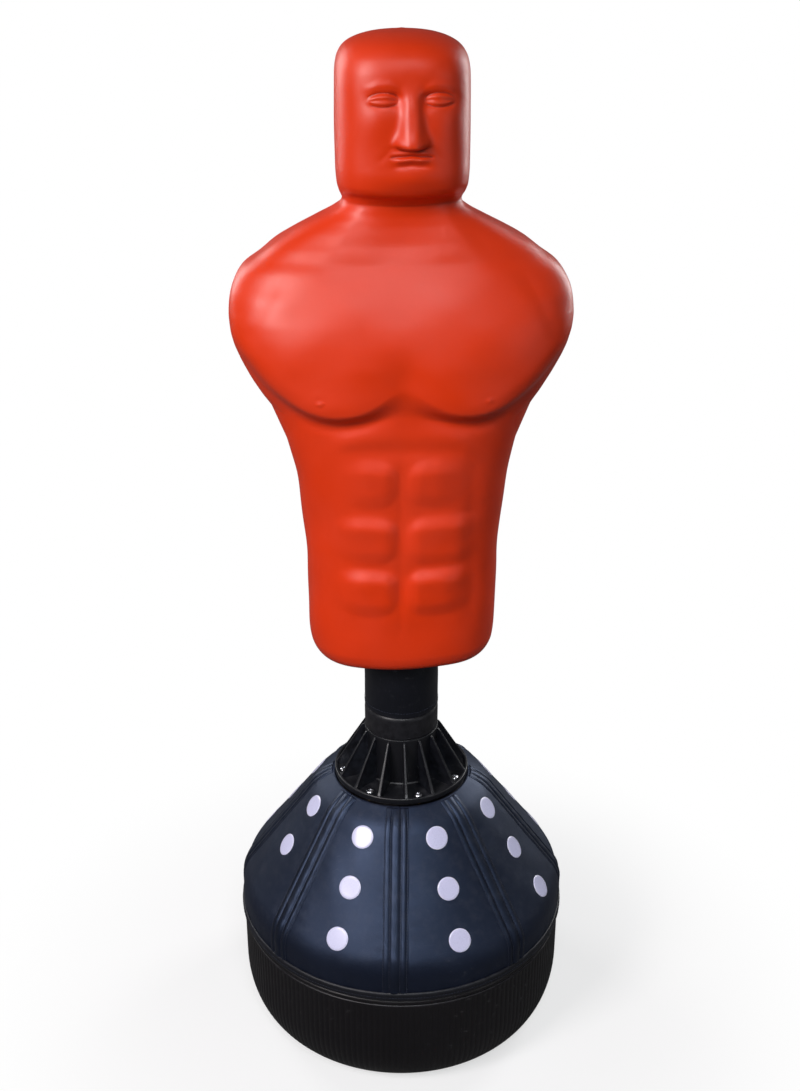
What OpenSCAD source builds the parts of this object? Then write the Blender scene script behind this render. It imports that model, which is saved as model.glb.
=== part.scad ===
// Free-standing body opponent: a soft moulded head and torso on a padded column,
// carried by a coil spring on a round, sand-filled base with a sewn cover.
// Millimetres, +Z up, front towards -Y, origin on the ground under the column.

/* [Base tank] */
// Outside radius of the base at its fluted band
base_r = 285; // [240:1:345]
// Height of the tank floor above the ground
foot_h = 10; // [8:1:14]
// How far the rounded bottom edge reaches inwards
edge_in = 45; // [25:1:60]
// How far the rounded bottom edge rises
edge_rise = 90; // [50:2:110]
// Height at which the fluted band stops and the cover begins
band_top = 204; // [150:2:230]
// Height of the centre of the rounded shoulder
shoulder_z = 252; // [245:1:275]
// Radius of the rounded shoulder
shoulder_r = 34; // [20:1:50]
// Height of the flat deck on top of the tank
deck_z = 465; // [440:1:500]
// Radius of that deck
deck_r = 116; // [110:1:124]
// Wall of the tank
tank_wall = 5; // [3:0.5:8]
// Height of the sand inside
sand_z = 230; // [120:5:240]

/* [Cover] */
// Number of sewn panels
panel_count = 8; // [8:1:8]
// Bearing of the first seam, counted from the front
seam_bearing = -5.5; // [-22:0.5:22]
// Thickness of the padded leatherette
cover_t = 3; // [2:0.1:5]
// Width of a seam strip
seam_w = 28; // [20:1:40]
// Thickness of a seam strip
seam_t = 2; // [1:0.5:3]
// Height of the bound hem
hem_h = 14; // [8:1:24]
// Radius of a reflective dot
dot_r = 19; // [12:0.5:24]
// Distance between dots along the slope
dot_pitch = 84; // [60:1:95]

/* [Collar] */
// Outside radius of the collar
collar_r = 116; // [108:1:120]
// Thickness of the collar's flange
flange_t = 6; // [4:0.5:10]
// Number of fins
fin_count = 15; // [15:1:15]
// Thickness of a fin
fin_t = 5; // [3:0.5:7]
// Height of the fins above the deck
fin_h = 92; // [80:1:100]
// Number of collar screws
screw_count = 8; // [8:1:8]
// Radius of the circle of collar screws
screw_ring_r = 101; // [96:0.5:103]
// Radius of a collar screw's shank
screw_r = 3; // [2.5:0.5:4]

/* [Column] */
// Outside radius of the padded column
column_r = 63; // [58:0.1:76]
// Thickness of the leatherette sleeve
sleeve_t = 3; // [2:0.5:4]
// Height of the point the column sways about, above the deck
pivot_h = 95; // [92:1:110]
// Rise of the ball seat's outer edge above that point
seat_rise = 37; // [33:1:45]
// Gap between that seat and the column
seat_gap = 1.5; // [1:0.25:3]
// Outside radius of the steel post
post_r = 30; // [25:1:36]
// Wall of the steel post
post_wall = 3; // [2:0.5:4]
// Radius of the spring wire
wire_r = 4; // [3:0.5:5]
// Working turns of the spring
spring_turns = 11; // [8:1:14]

/* [Torso] */
// Height of the torso's underside above the point the column sways about
torso_gap = 152; // [120:1:200]
// Height of torso and head
torso_h = 965; // [800:1:1160]
// Width across the shoulders
torso_w = 520; // [480:1:624]
// Depth from chest to back
torso_d = 254; // [240:1:300]
// Thickness of the moulded skin
skin_t = 4; // [3:0.5:6]
// Travel of the height adjustment
lift = 150; // [100:50:150]
// Distance between height settings
lift_step = 50; // [25:25:50]
// Radius of the height pin
pin_r = 5; // [4:0.5:6]
// Wall of the socket moulded into the torso
core_wall = 3.5; // [2.5:0.5:5]
// Radial clearance of the guide bushes on the post
bush_clear = 0.1; // [0.05:0.05:0.3]

/* [Filler] */
// Radius of the filler hole
filler_r = 19; // [14:1:20]
// Wall of the filler neck
neck_wall = 5; // [3:0.5:6]
// Clearance between the cap and the neck
cap_clear = 0.5; // [0.3:0.1:1]

/* [Hidden] */
$fn = 64;
far = 2000;          // longer than anything in the model
touch = 0.01;        // overlap that joins two shapes of one solid

// Base, worked out from the sizes above
cover_gap = 0.3;
tank_r = base_r - cover_t - cover_gap;
band_r = base_r - 1;
panel_turn = 360 / panel_count;
panel_split = 0.15;                       // degrees left open between two panels
knee_r = 146;
knee_z = deck_z - 20;
shoulder_x = tank_r - shoulder_r;
knee_dir = atan2(knee_z - shoulder_z, knee_r - shoulder_x);
knee_dist = norm([knee_r - shoulder_x, knee_z - shoulder_z]);
slope = knee_dir - acos(shoulder_r / knee_dist);   // rise of the cone's outward normal
cover_in_r = deck_r - 5;

// Collar and spring
gasket_t = 3.5;
collar_z = deck_z + gasket_t;
collar_wall = 5;
neck_top = deck_z + fin_h + 3;
pivot_z = deck_z + pivot_h;
seat_r = norm([column_r, seat_rise]);
rim_w = 7;
rim_h = 11;
screw_clear = 0.3;
insert_r = screw_r + 1.5;
insert_h = 12;
boss_r = insert_r + 4;
boss_h = insert_h + 4;
head_r = 7;
shank_l = gasket_t + flange_t + insert_h;
boot_wall = 5;
plate_r = 52;
plate_t = 6;
spring_r = 26;                            // radius of the spring's wire circle
spring_low = deck_z + plate_t + 4;
spring_high = 2 * pivot_z - spring_low;
cup_wall = 5;
cup_in_r = spring_r + wire_r + 1;
cup_h = 18;
cup_out_r = cup_in_r + cup_wall;
cup_low = pivot_z + sqrt(pow(seat_r + seat_gap, 2) - pow(cup_out_r, 2)) + 1;
boot_open_r = cup_out_r + 10;
peg_r = spring_r - wire_r - 2;
peg_h = 26;
bolt_r = 4;
bolt_ring_r = 44;

// Column and torso
torso_z = pivot_z + torso_gap;
post_low = spring_high + plate_t;
hollow_clear = 2.5;
core_in_r = column_r + hollow_clear;
core_out_r = core_in_r + core_wall;
sleeve_top = torso_z + lift + 18;
stop_z = sleeve_top + 2 + 2 * pin_r;      // the torso's socket rests on the pin here
pin_z = stop_z - pin_r;
pin_half = post_r + 16;
pin_eye = pin_half - 5;                   // where the ring passes through the pin
ring_wire = 1.2;
ring_r = (core_in_r - 3 - ring_wire - pin_eye) / 2;
ring_bow = ring_r - sqrt(ring_r * ring_r - pin_r * pin_r);
bush_h = 20;
bush_t = 4;
guide_r = post_r + bush_t;                // inside of the narrow part of the socket
post_top = stop_z + lift + 4 * bush_h + 60;
core_top = post_top + 14;
bolt_head_r = 6.5;
foam_bore_r = max(cup_out_r, post_r + 6) + 4;
foam_bore_z = post_low + 60;
plate_h = 5;
flange_h = 3;
flange_r = core_out_r + 16;

// Filler
filler_bearing = seam_bearing + 4.5 * panel_turn;
filler_panel = 5;
filler_mid = 0.5;                         // share of the way down the cone
cone_top = [knee_r, knee_z];
cone_low = [shoulder_x + shoulder_r * cos(slope), shoulder_z + shoulder_r * sin(slope)];
cone_len = norm(cone_top - cone_low);
filler_at = cone_top + (cone_low - cone_top) * filler_mid;
neck_r = filler_r + neck_wall;
neck_h = 14;
seal_h = 2;
seal_gap = 0.05;                          // the seal is squeezed by the last of the thread
cap_r = neck_r + 7;
cap_h = 12;

// Half width, front depth, back depth and squareness of the figure at each height
// above the underside of the torso, for a figure of the size that LIKE gives
LIKE = [520, 254, 965];
FIGURE = [
    [0, 124, 88, 86, 2.5], [8, 139, 99, 95, 2.5], [30, 149, 106, 101, 2.6],
    [90, 153, 106, 104, 2.6], [170, 153, 103, 104, 2.6], [250, 158, 105, 106, 2.6],
    [310, 166, 110, 110, 2.6], [370, 177, 116, 114, 2.6], [418, 192, 124, 118, 2.6],
    [465, 228, 130, 122, 2.6], [515, 252, 128, 124, 2.5], [560, 260, 120, 124, 2.4],
    [600, 256, 107, 118, 2.3], [635, 238, 92, 108, 2.2], [663, 204, 77, 97, 2.2],
    [690, 160, 66, 86, 2.2], [712, 118, 60, 78, 2.2], [728, 97, 60, 75, 2.3],
    [738, 88, 70, 76, 2.5], [746, 90, 92, 80, 2.8], [768, 96, 100, 88, 3], [808, 96, 102, 96, 3],
    [848, 95.5, 100, 101, 3], [888, 95, 98, 103, 2.9], [918, 93, 92, 98, 2.7],
    [938, 86, 80, 86, 2.5], [950, 74, 66, 70, 2.4], [958, 57, 48, 52, 2.2], [963, 34, 27, 30, 2]];
RING = 32;                                // points round one section

// Where the reflective dots are left off: [panel, row]
BARE = [[filler_panel, 1], [7, 2]];

// ---------- shared shapes ----------

function arc(cx, cz, rx, rz, from, to, steps) =
    [for (i = [0:steps]) let(a = from + (to - from) * i / steps) [cx + rx * cos(a), cz + rz * sin(a)]];

function backwards(list) = [for (i = [len(list) - 1:-1:0]) list[i]];

function out_normal(p, q) = let(d = (q - p) / norm(q - p)) [d[1], -d[0]];

// A line moved outwards by d, with mitred corners
function moved(line, d) = [for (i = [0:len(line) - 1])
    let(
        n1 = out_normal(line[max(i - 1, 0)], line[max(i, 1)]),
        n2 = out_normal(line[min(i, len(line) - 2)], line[min(i + 1, len(line) - 1)])
    ) line[i] + (n1 + n2) * d / (1 + n1 * n2)];

shoulder_line = concat(arc(shoulder_x, shoulder_z, shoulder_r, shoulder_r, 0, slope, 4),
    [cone_top, [deck_r, deck_z]]);
cover_line = concat([[tank_r, band_top]], shoulder_line, [[cover_in_r, deck_z]]);
inner_line = concat(arc(tank_r - edge_in, foot_h + edge_rise, edge_in, edge_rise, -90, 0, 8),
    shoulder_line);

// Things set out round the axis: bearing 0 is the front, and it grows towards +X
module at_bearing(b) { rotate([0, 0, b - 90]) children(); }

module around(count, first = 0) {
    for (i = [0:count - 1]) at_bearing(first + i * 360 / count) children();
}

// The collar's screws stand midway between fins
module screw_places() {
    for (i = [0:screw_count - 1])
        at_bearing((round(i * fin_count / screw_count) + 0.5) * 360 / fin_count)
            translate([screw_ring_r, 0, 0]) children();
}

// A layer of the cover between two distances outside the tank
module cover_layer(low, high, line = cover_line, turn = 360) {
    rotate_extrude(angle = turn, $fn = 96)
        polygon(concat(moved(line, low), backwards(moved(line, high))));
}

module tube(r_out, r_in, low, high) {
    difference() {
        translate([0, 0, low]) cylinder(r = r_out, h = high - low);
        translate([0, 0, low - 1]) cylinder(r = r_in, h = high - low + 2);
    }
}

module disc(r, low, high) { translate([0, 0, low]) cylinder(r = r, h = high - low); }

// Frame of the filler: its local +Z leaves the cone squarely
module at_filler() {
    at_bearing(filler_bearing) translate([filler_at[0], 0, filler_at[1]])
        rotate([0, 90 - slope, 0]) children();
}

module hex_prism(across, h) { cylinder(r = across / sqrt(3), h = h, $fn = 6); }

// ---------- base ----------

module base_tank() color([0.09, 0.08, 0.08]) difference() {
    union() {
        rotate_extrude($fn = 96) polygon(concat([[0, foot_h]],
            arc(band_r - edge_in, foot_h + edge_rise, edge_in, edge_rise, -90, 0, 8),
            [[band_r, band_top - 12], [base_r, band_top - 10], [base_r, band_top - 6],
             [band_r - 1, band_top - 4], [tank_r, band_top - 4]],
            shoulder_line, [[0, deck_z]]));
        at_filler() disc(neck_r, -tank_wall - 6, neck_h);
    }
    difference() {
        rotate_extrude($fn = 96) polygon(concat([[0, foot_h + tank_wall]],
            moved(inner_line, -tank_wall), [[0, deck_z - tank_wall]]));
        screw_places() disc(boss_r, deck_z - boss_h, deck_z);
    }
    screw_places() disc(insert_r, deck_z - insert_h, deck_z + 1);
    around(4, 45) translate([bolt_ring_r, 0, deck_z - tank_wall - 1])
        cylinder(r = bolt_r + screw_clear, h = tank_wall + 2);
    at_filler() disc(filler_r, -tank_wall - 12, neck_h + 1);
    cup_places() translate([0, 0, foot_h - 1]) cylinder(r = 5, h = 5);
}

module sand_ballast() color([0.76, 0.68, 0.5]) intersection() {
    rotate_extrude($fn = 96) polygon(concat([[0, foot_h + tank_wall]],
        moved(inner_line, -tank_wall), [[0, deck_z - tank_wall]]));
    disc(far, 0, sand_z);
}

module cup_places() {
    around(8) translate([base_r - edge_in - 36, 0, 0]) children();
    around(4, 45) translate([100, 0, 0]) children();
}

module suction_cups() color([0.12, 0.12, 0.13]) cup_places() rotate_extrude($fn = 48)
    polygon([[0, foot_h - 6], [9, foot_h - 6], [21, 0], [25, 0], [25, 1.4], [12, foot_h - 2.5],
        [10, foot_h], [5, foot_h], [5, foot_h + 4], [0, foot_h + 4]]);

module cover_panel(i) color([0.1, 0.11, 0.16]) difference() {
    at_bearing(seam_bearing + (i - 1) * panel_turn + panel_split / 2)
        cover_layer(cover_gap, cover_gap + cover_t, turn = panel_turn - panel_split);
    if (i == filler_panel) at_filler() disc(neck_r + 3, -20, 30);
}

module seam_strips() color([0.08, 0.09, 0.13]) difference() {
    intersection() {
        cover_layer(cover_gap + cover_t, cover_gap + cover_t + seam_t);
        around(panel_count, seam_bearing) translate([0, -seam_w / 2, band_top + hem_h])
            cube([far, seam_w, far]);
    }
    disc(collar_r + 1, 0, far);
}

module cover_hem() color([0.07, 0.08, 0.11])
    tube(base_r + 1.6, base_r, band_top, band_top + hem_h);

function is_bare(panel, row) = len([for (b = BARE) if (b == [panel, row]) b]) > 0;

module reflective_dots() color([0.86, 0.86, 0.95])
    for (panel = [1:panel_count], row = [0:2]) if (!is_bare(panel, row))
        at_bearing(seam_bearing + (panel - 0.5) * panel_turn)
            translate([filler_at[0], 0, filler_at[1]]) rotate([0, 90 - slope, 0])
                translate([(row - 1) * dot_pitch, 0, cover_gap + cover_t])
                    cylinder(r = dot_r, h = 1.2);

// ---------- collar ----------

module collar() color([0.06, 0.06, 0.065]) difference() {
    union() {
        rotate_extrude($fn = 96) polygon([[column_r - collar_wall, collar_z],
            [collar_r - rim_w, collar_z], [collar_r - rim_w, collar_z + 1.5],
            [collar_r, collar_z + 1.5], [collar_r, collar_z + rim_h - 2],
            [collar_r - 2, collar_z + rim_h], [collar_r - rim_w + 2, collar_z + rim_h],
            [collar_r - rim_w, collar_z + flange_t], [column_r, collar_z + flange_t],
            [column_r, neck_top], [column_r - collar_wall, neck_top]]);
        around(fin_count) translate([0, fin_t / 2, 0]) rotate([90, 0, 0])
            linear_extrude(fin_t) polygon([[column_r - 1, collar_z + 1], [collar_r - 4, collar_z + 1],
                [collar_r - 2, collar_z + rim_h + 3], [column_r + 3, deck_z + fin_h - 4],
                [column_r + 1.5, deck_z + fin_h], [column_r - 1, deck_z + fin_h]]);
    }
    screw_places() disc(screw_r + screw_clear, collar_z - 1, collar_z + flange_t + 1);
}

module collar_gasket() color([0.2, 0.2, 0.21]) difference() {
    tube(cover_in_r - 0.5, plate_r + 10, deck_z, collar_z);
    screw_places() disc(screw_r + screw_clear, deck_z - 1, collar_z + 1);
}

module collar_screws() color([0.85, 0.86, 0.88])
    screw_places() translate([0, 0, collar_z + flange_t]) {
        translate([0, 0, -shank_l]) cylinder(r = screw_r, h = shank_l + 1);
        intersection() {
            cylinder(r = head_r, h = 8);
            translate([0, 0, 4.2 - head_r * 1.3]) sphere(r = head_r * 1.3);
        }
    }

module threaded_inserts() color([0.78, 0.62, 0.3])
    screw_places() tube(insert_r, screw_r, deck_z - insert_h, deck_z);

// Rubber boot: its top is a ball seat about the sway point
module neck_boot() color([0.05, 0.05, 0.055]) difference() {
    union() {
        intersection() {
            disc(column_r, neck_top, far);
            translate([0, 0, pivot_z]) sphere(r = seat_r, $fn = 96);
        }
        disc(column_r - collar_wall, neck_top - 60, neck_top + touch);
    }
    intersection() {
        disc(column_r - collar_wall - boot_wall, 0, far);
        union() {
            translate([0, 0, pivot_z]) sphere(r = seat_r - boot_wall, $fn = 96);
            disc(far, 0, pivot_z);
        }
    }
    disc(boot_open_r, 0, far);
}

// ---------- spring ----------

module lower_spring_socket() color([0.5, 0.51, 0.53]) difference() {
    union() {
        disc(plate_r, deck_z, deck_z + plate_t);
        disc(cup_out_r, deck_z, spring_low + cup_h);
    }
    difference() {
        disc(cup_in_r, spring_low, far);
        disc(peg_r, 0, spring_low + peg_h);
    }
    around(4, 45) translate([bolt_ring_r, 0, deck_z - 1])
        cylinder(r = bolt_r + screw_clear, h = plate_t + 2);
}

module socket_bolts() color([0.62, 0.63, 0.65])
    around(4, 45) translate([bolt_ring_r, 0, 0]) {
        disc(bolt_r, deck_z - tank_wall - 12, deck_z + plate_t + 1);
        translate([0, 0, deck_z + plate_t]) hex_prism(13, 5);
    }

module socket_nuts() color([0.62, 0.63, 0.65])
    around(4, 45) translate([bolt_ring_r, 0, deck_z - tank_wall - 7]) difference() {
        hex_prism(13, 7);
        disc(bolt_r, -1, 8);
    }

// Coil spring with closed ends
function coil_point(t) = [spring_r * cos(360 * t), spring_r * sin(360 * t),
    spring_low + wire_r + (spring_high - spring_low - 2 * wire_r) * coil_share(t)];
closed_turns = 1;
all_turns = spring_turns + 2 * closed_turns;
closed_rise = 2.1 * wire_r / (spring_high - spring_low - 2 * wire_r);
function coil_share(t) = t < closed_turns ? t * closed_rise
    : t > all_turns - closed_turns ? 1 - (all_turns - t) * closed_rise
    : closed_rise + (t - closed_turns) / spring_turns * (1 - 2 * closed_rise);
coil_steps = 14;
wire_sides = 8;

module main_spring() color([0.35, 0.36, 0.38]) {
    rings = all_turns * coil_steps;
    points = [for (i = [0:rings], j = [0:wire_sides - 1])
        let(
            t = i / coil_steps, p = coil_point(t), a = 360 * j / wire_sides,
            out = [cos(360 * t), sin(360 * t), 0]
        ) p + wire_r * (cos(a) * out + sin(a) * [0, 0, 1])];
    sides = [for (i = [0:rings - 1], j = [0:wire_sides - 1])
        let(k = (j + 1) % wire_sides, a = i * wire_sides)
            [a + j, a + k, a + wire_sides + k, a + wire_sides + j]];
    ends = [[for (j = [wire_sides - 1:-1:0]) j],
        [for (j = [0:wire_sides - 1]) rings * wire_sides + j]];
    polyhedron(points = points, faces = concat(sides, ends));
}

module upper_spring_socket() color([0.5, 0.51, 0.53]) difference() {
    union() {
        disc(cup_out_r, cup_low, post_low);
        disc(post_r - post_wall, post_low - touch, post_low + 50);
    }
    difference() {
        disc(cup_in_r, 0, spring_high);
        disc(peg_r, spring_high - peg_h, far);
    }
    cross_bolt_holes(bolt_r);
}

module cross_bolt_holes(r) {
    for (side = [0, 1]) rotate([0, 0, 90 * side]) translate([-far / 2, 0, post_low + 16 + 18 * side])
        rotate([0, 90, 0]) cylinder(r = r, h = far);
}

module post_cross_bolts() color([0.62, 0.63, 0.65])
    for (side = [0, 1]) rotate([0, 0, 90 * side]) translate([0, 0, post_low + 16 + 18 * side])
        rotate([0, 90, 0]) {
            translate([0, 0, -post_r - 4]) cylinder(r = bolt_r, h = 2 * post_r + 6);
            translate([0, 0, post_r]) cylinder(r = bolt_head_r, h = 4);
            translate([0, 0, -post_r - 5]) cylinder(r = bolt_head_r, h = 5);
        }

// ---------- post and column ----------

module post_tube() color([0.42, 0.43, 0.45]) difference() {
    tube(post_r, post_r - post_wall, post_low, post_top);
    cross_bolt_holes(bolt_r);
    for (i = [0:lift / lift_step]) translate([-far / 2, 0, pin_z + i * lift_step])
        rotate([0, 90, 0]) cylinder(r = pin_r + 0.1, h = far);
}

module post_cap() color([0.1, 0.1, 0.11]) {
    disc(post_r, post_top, post_top + 4);
    disc(post_r - post_wall, post_top - 16, post_top + touch);
}

module height_pin() color([0.7, 0.71, 0.73]) difference() {
    translate([-pin_half, 0, pin_z]) rotate([0, 90, 0]) cylinder(r = pin_r, h = 2 * pin_half);
    translate([pin_eye + ring_bow / 2, far / 2, pin_z]) rotate([90, 0, 0])
        cylinder(r = ring_wire + ring_bow / 2 + 0.3, h = far);
}

module pin_ring() color([0.7, 0.71, 0.73])
    translate([pin_eye + ring_r, 0, pin_z]) rotate_extrude($fn = 40)
        translate([ring_r, 0]) circle(r = ring_wire, $fn = 16);

// Everything on the post stays outside the ball seat
module clear_of_seat() {
    difference() {
        children();
        translate([0, 0, pivot_z]) sphere(r = seat_r + seat_gap, $fn = 96);
        disc(far, 0, pivot_z);
    }
}

module column_foam() color([0.85, 0.83, 0.7]) clear_of_seat() difference() {
    disc(column_r - sleeve_t, pivot_z, sleeve_top - sleeve_t);
    disc(post_r, 0, far);
    disc(foam_bore_r, 0, foam_bore_z);
}

module column_sleeve() color([0.07, 0.07, 0.075]) clear_of_seat() difference() {
    disc(column_r, pivot_z, sleeve_top);
    disc(column_r - sleeve_t, 0, sleeve_top - sleeve_t);
    disc(post_r + 1, 0, far);
}

// ---------- torso ----------

// Socket moulded into the torso: wide round the column, narrow round the post
module torso_core() color([0.16, 0.16, 0.17]) difference() {
    union() {
        disc(flange_r, torso_z - flange_h, torso_z);
        disc(core_out_r, torso_z - touch, stop_z + core_wall);
        disc(guide_r + core_wall, stop_z, core_top);
    }
    disc(core_in_r, 0, stop_z);
    disc(guide_r, 0, far);
    around(6, 30) translate([core_out_r + 8, 0, torso_z - flange_h - 1])
        cylinder(r = 2.2, h = flange_h + 2);
}

module core_plug() color([0.2, 0.2, 0.21]) {
    disc(guide_r, core_top - 6, core_top);
    disc(guide_r + core_wall, core_top, core_top + 3);
}

module bush(low) color([0.9, 0.89, 0.84]) tube(guide_r, post_r + bush_clear, low, low + bush_h);

module plate_outline() { polygon([for (p = inner_rings[0]) [p[0], p[1]]]); }

module torso_base_plate() color([0.13, 0.13, 0.14]) difference() {
    translate([0, 0, torso_z]) linear_extrude(plate_h) plate_outline();
    disc(core_out_r, 0, far);
    around(6, 30) translate([core_out_r + 8, 0, torso_z - 1]) cylinder(r = 2, h = plate_h + 2);
}

module plate_screws() color([0.62, 0.63, 0.65])
    around(6, 30) translate([core_out_r + 8, 0, torso_z - flange_h]) {
        cylinder(r = 2, h = flange_h + plate_h);
        translate([0, 0, -2]) cylinder(r = 4, h = 2);
    }

// One section of the figure between two listed heights, by a Catmull-Rom curve
function spline(p0, p1, p2, p3, t) = 0.5 * (2 * p1 + (p2 - p0) * t
    + (2 * p0 - 5 * p1 + 4 * p2 - p3) * t * t + (3 * p1 - p0 - 3 * p2 + p3) * t * t * t);
figure_steps = [for (i = [0:len(FIGURE) - 2]) for (t = i < 16 ? [0, 0.5] : [0]) i + t];
function figure_section(s) = let(i = floor(s), n = len(FIGURE) - 1)
    spline(FIGURE[max(i - 1, 0)], FIGURE[i], FIGURE[min(i + 1, n)], FIGURE[min(i + 2, n)], s - i);
function power(v, e) = sign(v) * pow(abs(v), e);
function figure_ring(s) = [for (j = [0:RING - 1])
    let(a = 360 * j / RING, e = 2 / s[4], y = power(sin(a), e))
        [s[1] * power(cos(a), e) * torso_w / LIKE[0], y * (y < 0 ? s[2] : s[3]) * torso_d / LIKE[1],
         torso_z + s[0] * torso_h / LIKE[2]]];
figure_peak = [0, 0, torso_z + torso_h];
outer_rings = [for (s = concat(figure_steps, [len(FIGURE) - 1])) figure_ring(figure_section(s))];
ring_count = len(outer_rings);

// Outward normal at a point of the grid; level on the bottom ring
function ring_normal(i, j) =
    let(
        above = i == ring_count - 1 ? figure_peak : outer_rings[i + 1][j],
        below = outer_rings[max(i - 1, 0)][j],
        ahead = outer_rings[i][(j + 1) % RING], behind = outer_rings[i][(j + RING - 1) % RING],
        c = cross(ahead - behind, above - below), n = i == 0 ? [c[0], c[1], 0] : c
    ) n / norm(n);
inner_rings = [for (i = [0:ring_count - 1])
    [for (j = [0:RING - 1]) outer_rings[i][j] - skin_t * ring_normal(i, j)]];

// Split into triangles here, so that skin and foam share every edge
function wall_faces(first, flip) = [for (i = [0:ring_count - 2], j = [0:RING - 1], half = [0, 1])
    let(a = first + i * RING, k = (j + 1) % RING,
        t = half == 0 ? [a + j, a + RING + j, a + RING + k] : [a + j, a + RING + k, a + k])
            flip ? backwards(t) : t];
function top_faces(first, peak, flip) = [for (j = [0:RING - 1])
    let(a = first + (ring_count - 1) * RING, k = (j + 1) % RING,
        q = [a + j, peak, a + k]) flip ? backwards(q) : q];

module torso_skin() color([0.85, 0.27, 0.1]) {
    points = concat([for (r = outer_rings) each r], [for (r = inner_rings) each r],
        [figure_peak, figure_peak - [0, 0, skin_t]]);
    inner = ring_count * RING;
    polyhedron(points = points, faces = concat(
        wall_faces(0, false), top_faces(0, 2 * inner, false),
        wall_faces(inner, true), top_faces(inner, 2 * inner + 1, true),
        [for (j = [0:RING - 1]) let(k = (j + 1) % RING) [j, k, inner + k, inner + j]]));
}

module torso_foam() color([0.88, 0.85, 0.74]) difference() {
    polyhedron(
        points = concat([for (r = inner_rings) each r], [figure_peak - [0, 0, skin_t]]),
        faces = concat(wall_faces(0, false), top_faces(0, ring_count * RING, false),
            [[for (j = [0:RING - 1]) j]]));
    disc(core_out_r, 0, stop_z + core_wall);
    disc(guide_r + core_wall, 0, core_top + 3);
    disc(far, 0, torso_z + plate_h);
}

// ---------- filler ----------

module filler_seal() color([0.25, 0.25, 0.26]) at_filler()
    tube(neck_r, filler_r, neck_h, neck_h + seal_h);

module filler_cap() color([0.1, 0.1, 0.105]) at_filler() difference() {
    disc(cap_r, neck_h + seal_h - cap_h + 3, neck_h + seal_h + 5);
    disc(neck_r + cap_clear, 0, neck_h + seal_h + seal_gap);
    for (i = [0:11]) rotate([0, 0, 30 * i]) translate([cap_r + 2, 0, 0])
        cylinder(r = 4, h = far, $fn = 24);
}

base_tank();
sand_ballast();
suction_cups();
cover_panel(1);  // cover_panel_1
cover_panel(2);  // cover_panel_2
cover_panel(3);  // cover_panel_3
cover_panel(4);  // cover_panel_4
cover_panel(5);  // cover_panel_5
cover_panel(6);  // cover_panel_6
cover_panel(7);  // cover_panel_7
cover_panel(8);  // cover_panel_8
seam_strips();
cover_hem();
reflective_dots();
collar();
collar_gasket();
collar_screws();
threaded_inserts();
neck_boot();
lower_spring_socket();
socket_bolts();
socket_nuts();
main_spring();
upper_spring_socket();
post_cross_bolts();
post_tube();
post_cap();
height_pin();
pin_ring();
column_foam();
column_sleeve();
torso_core();
core_plug();
bush(stop_z + core_wall);  // lower_bush
bush(stop_z + core_wall + bush_h + 60);  // upper_bush
torso_base_plate();
plate_screws();
torso_foam();
torso_skin();
filler_seal();
filler_cap();
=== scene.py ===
import math
import bpy
import bmesh
import numpy as np
from mathutils import Vector, Matrix
from mathutils.bvhtree import BVHTree


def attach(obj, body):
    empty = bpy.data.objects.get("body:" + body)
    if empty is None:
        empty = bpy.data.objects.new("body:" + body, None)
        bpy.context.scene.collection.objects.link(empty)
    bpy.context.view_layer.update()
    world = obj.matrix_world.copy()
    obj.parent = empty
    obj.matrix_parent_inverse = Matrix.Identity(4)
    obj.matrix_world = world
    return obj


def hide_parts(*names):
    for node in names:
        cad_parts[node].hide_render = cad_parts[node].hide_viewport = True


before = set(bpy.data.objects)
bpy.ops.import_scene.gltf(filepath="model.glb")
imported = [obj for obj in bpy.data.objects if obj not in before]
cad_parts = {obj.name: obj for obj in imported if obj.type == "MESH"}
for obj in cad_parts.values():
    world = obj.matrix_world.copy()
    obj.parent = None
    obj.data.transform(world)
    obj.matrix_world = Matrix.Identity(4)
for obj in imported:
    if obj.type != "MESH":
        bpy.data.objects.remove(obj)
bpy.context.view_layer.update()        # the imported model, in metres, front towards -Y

scene = bpy.context.scene
print("frame loaded:", len(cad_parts), "nodes")


# small helpers used all over the script

def srgb(r, g, b):
    # an 8-bit sRGB colour as linear RGBA
    lin = [(c / 255 / 12.92) if c <= 10 else (((c / 255) + 0.055) / 1.055) ** 2.4 for c in (r, g, b)]
    return (lin[0], lin[1], lin[2], 1.0)


def step(low, high, value):
    t = np.clip((value - low) / (high - low), 0.0, 1.0)
    return t * t * (3.0 - 2.0 * t)


def bell(value, centre, width):
    return np.exp(-(((value - centre) / width) ** 2))


def between(value, low, high, soft):
    return step(low - soft, low + soft, value) * (1.0 - step(high - soft, high + soft, value))


def evenCurve(knots, values, at):
    # monotone cubic through the knots, so a form never bulges past what its table says
    h = np.diff(knots)
    slope = np.diff(values) / h
    tangent = np.zeros(len(knots))
    tangent[0], tangent[-1] = slope[0], slope[-1]
    for i in range(1, len(knots) - 1):
        if slope[i - 1] * slope[i] > 0:
            w1, w2 = 2 * h[i] + h[i - 1], h[i] + 2 * h[i - 1]
            tangent[i] = (w1 + w2) / (w1 / slope[i - 1] + w2 / slope[i])
    i = np.clip(np.searchsorted(knots, at) - 1, 0, len(h) - 1)
    t = (at - knots[i]) / h[i]
    a, b = values[i], values[i + 1]
    m, n = tangent[i] * h[i], tangent[i + 1] * h[i]
    return ((2 * t**3 - 3 * t**2 + 1) * a + (t**3 - 2 * t**2 + t) * m
            + (-2 * t**3 + 3 * t**2) * b + (t**3 - t**2) * n)


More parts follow.
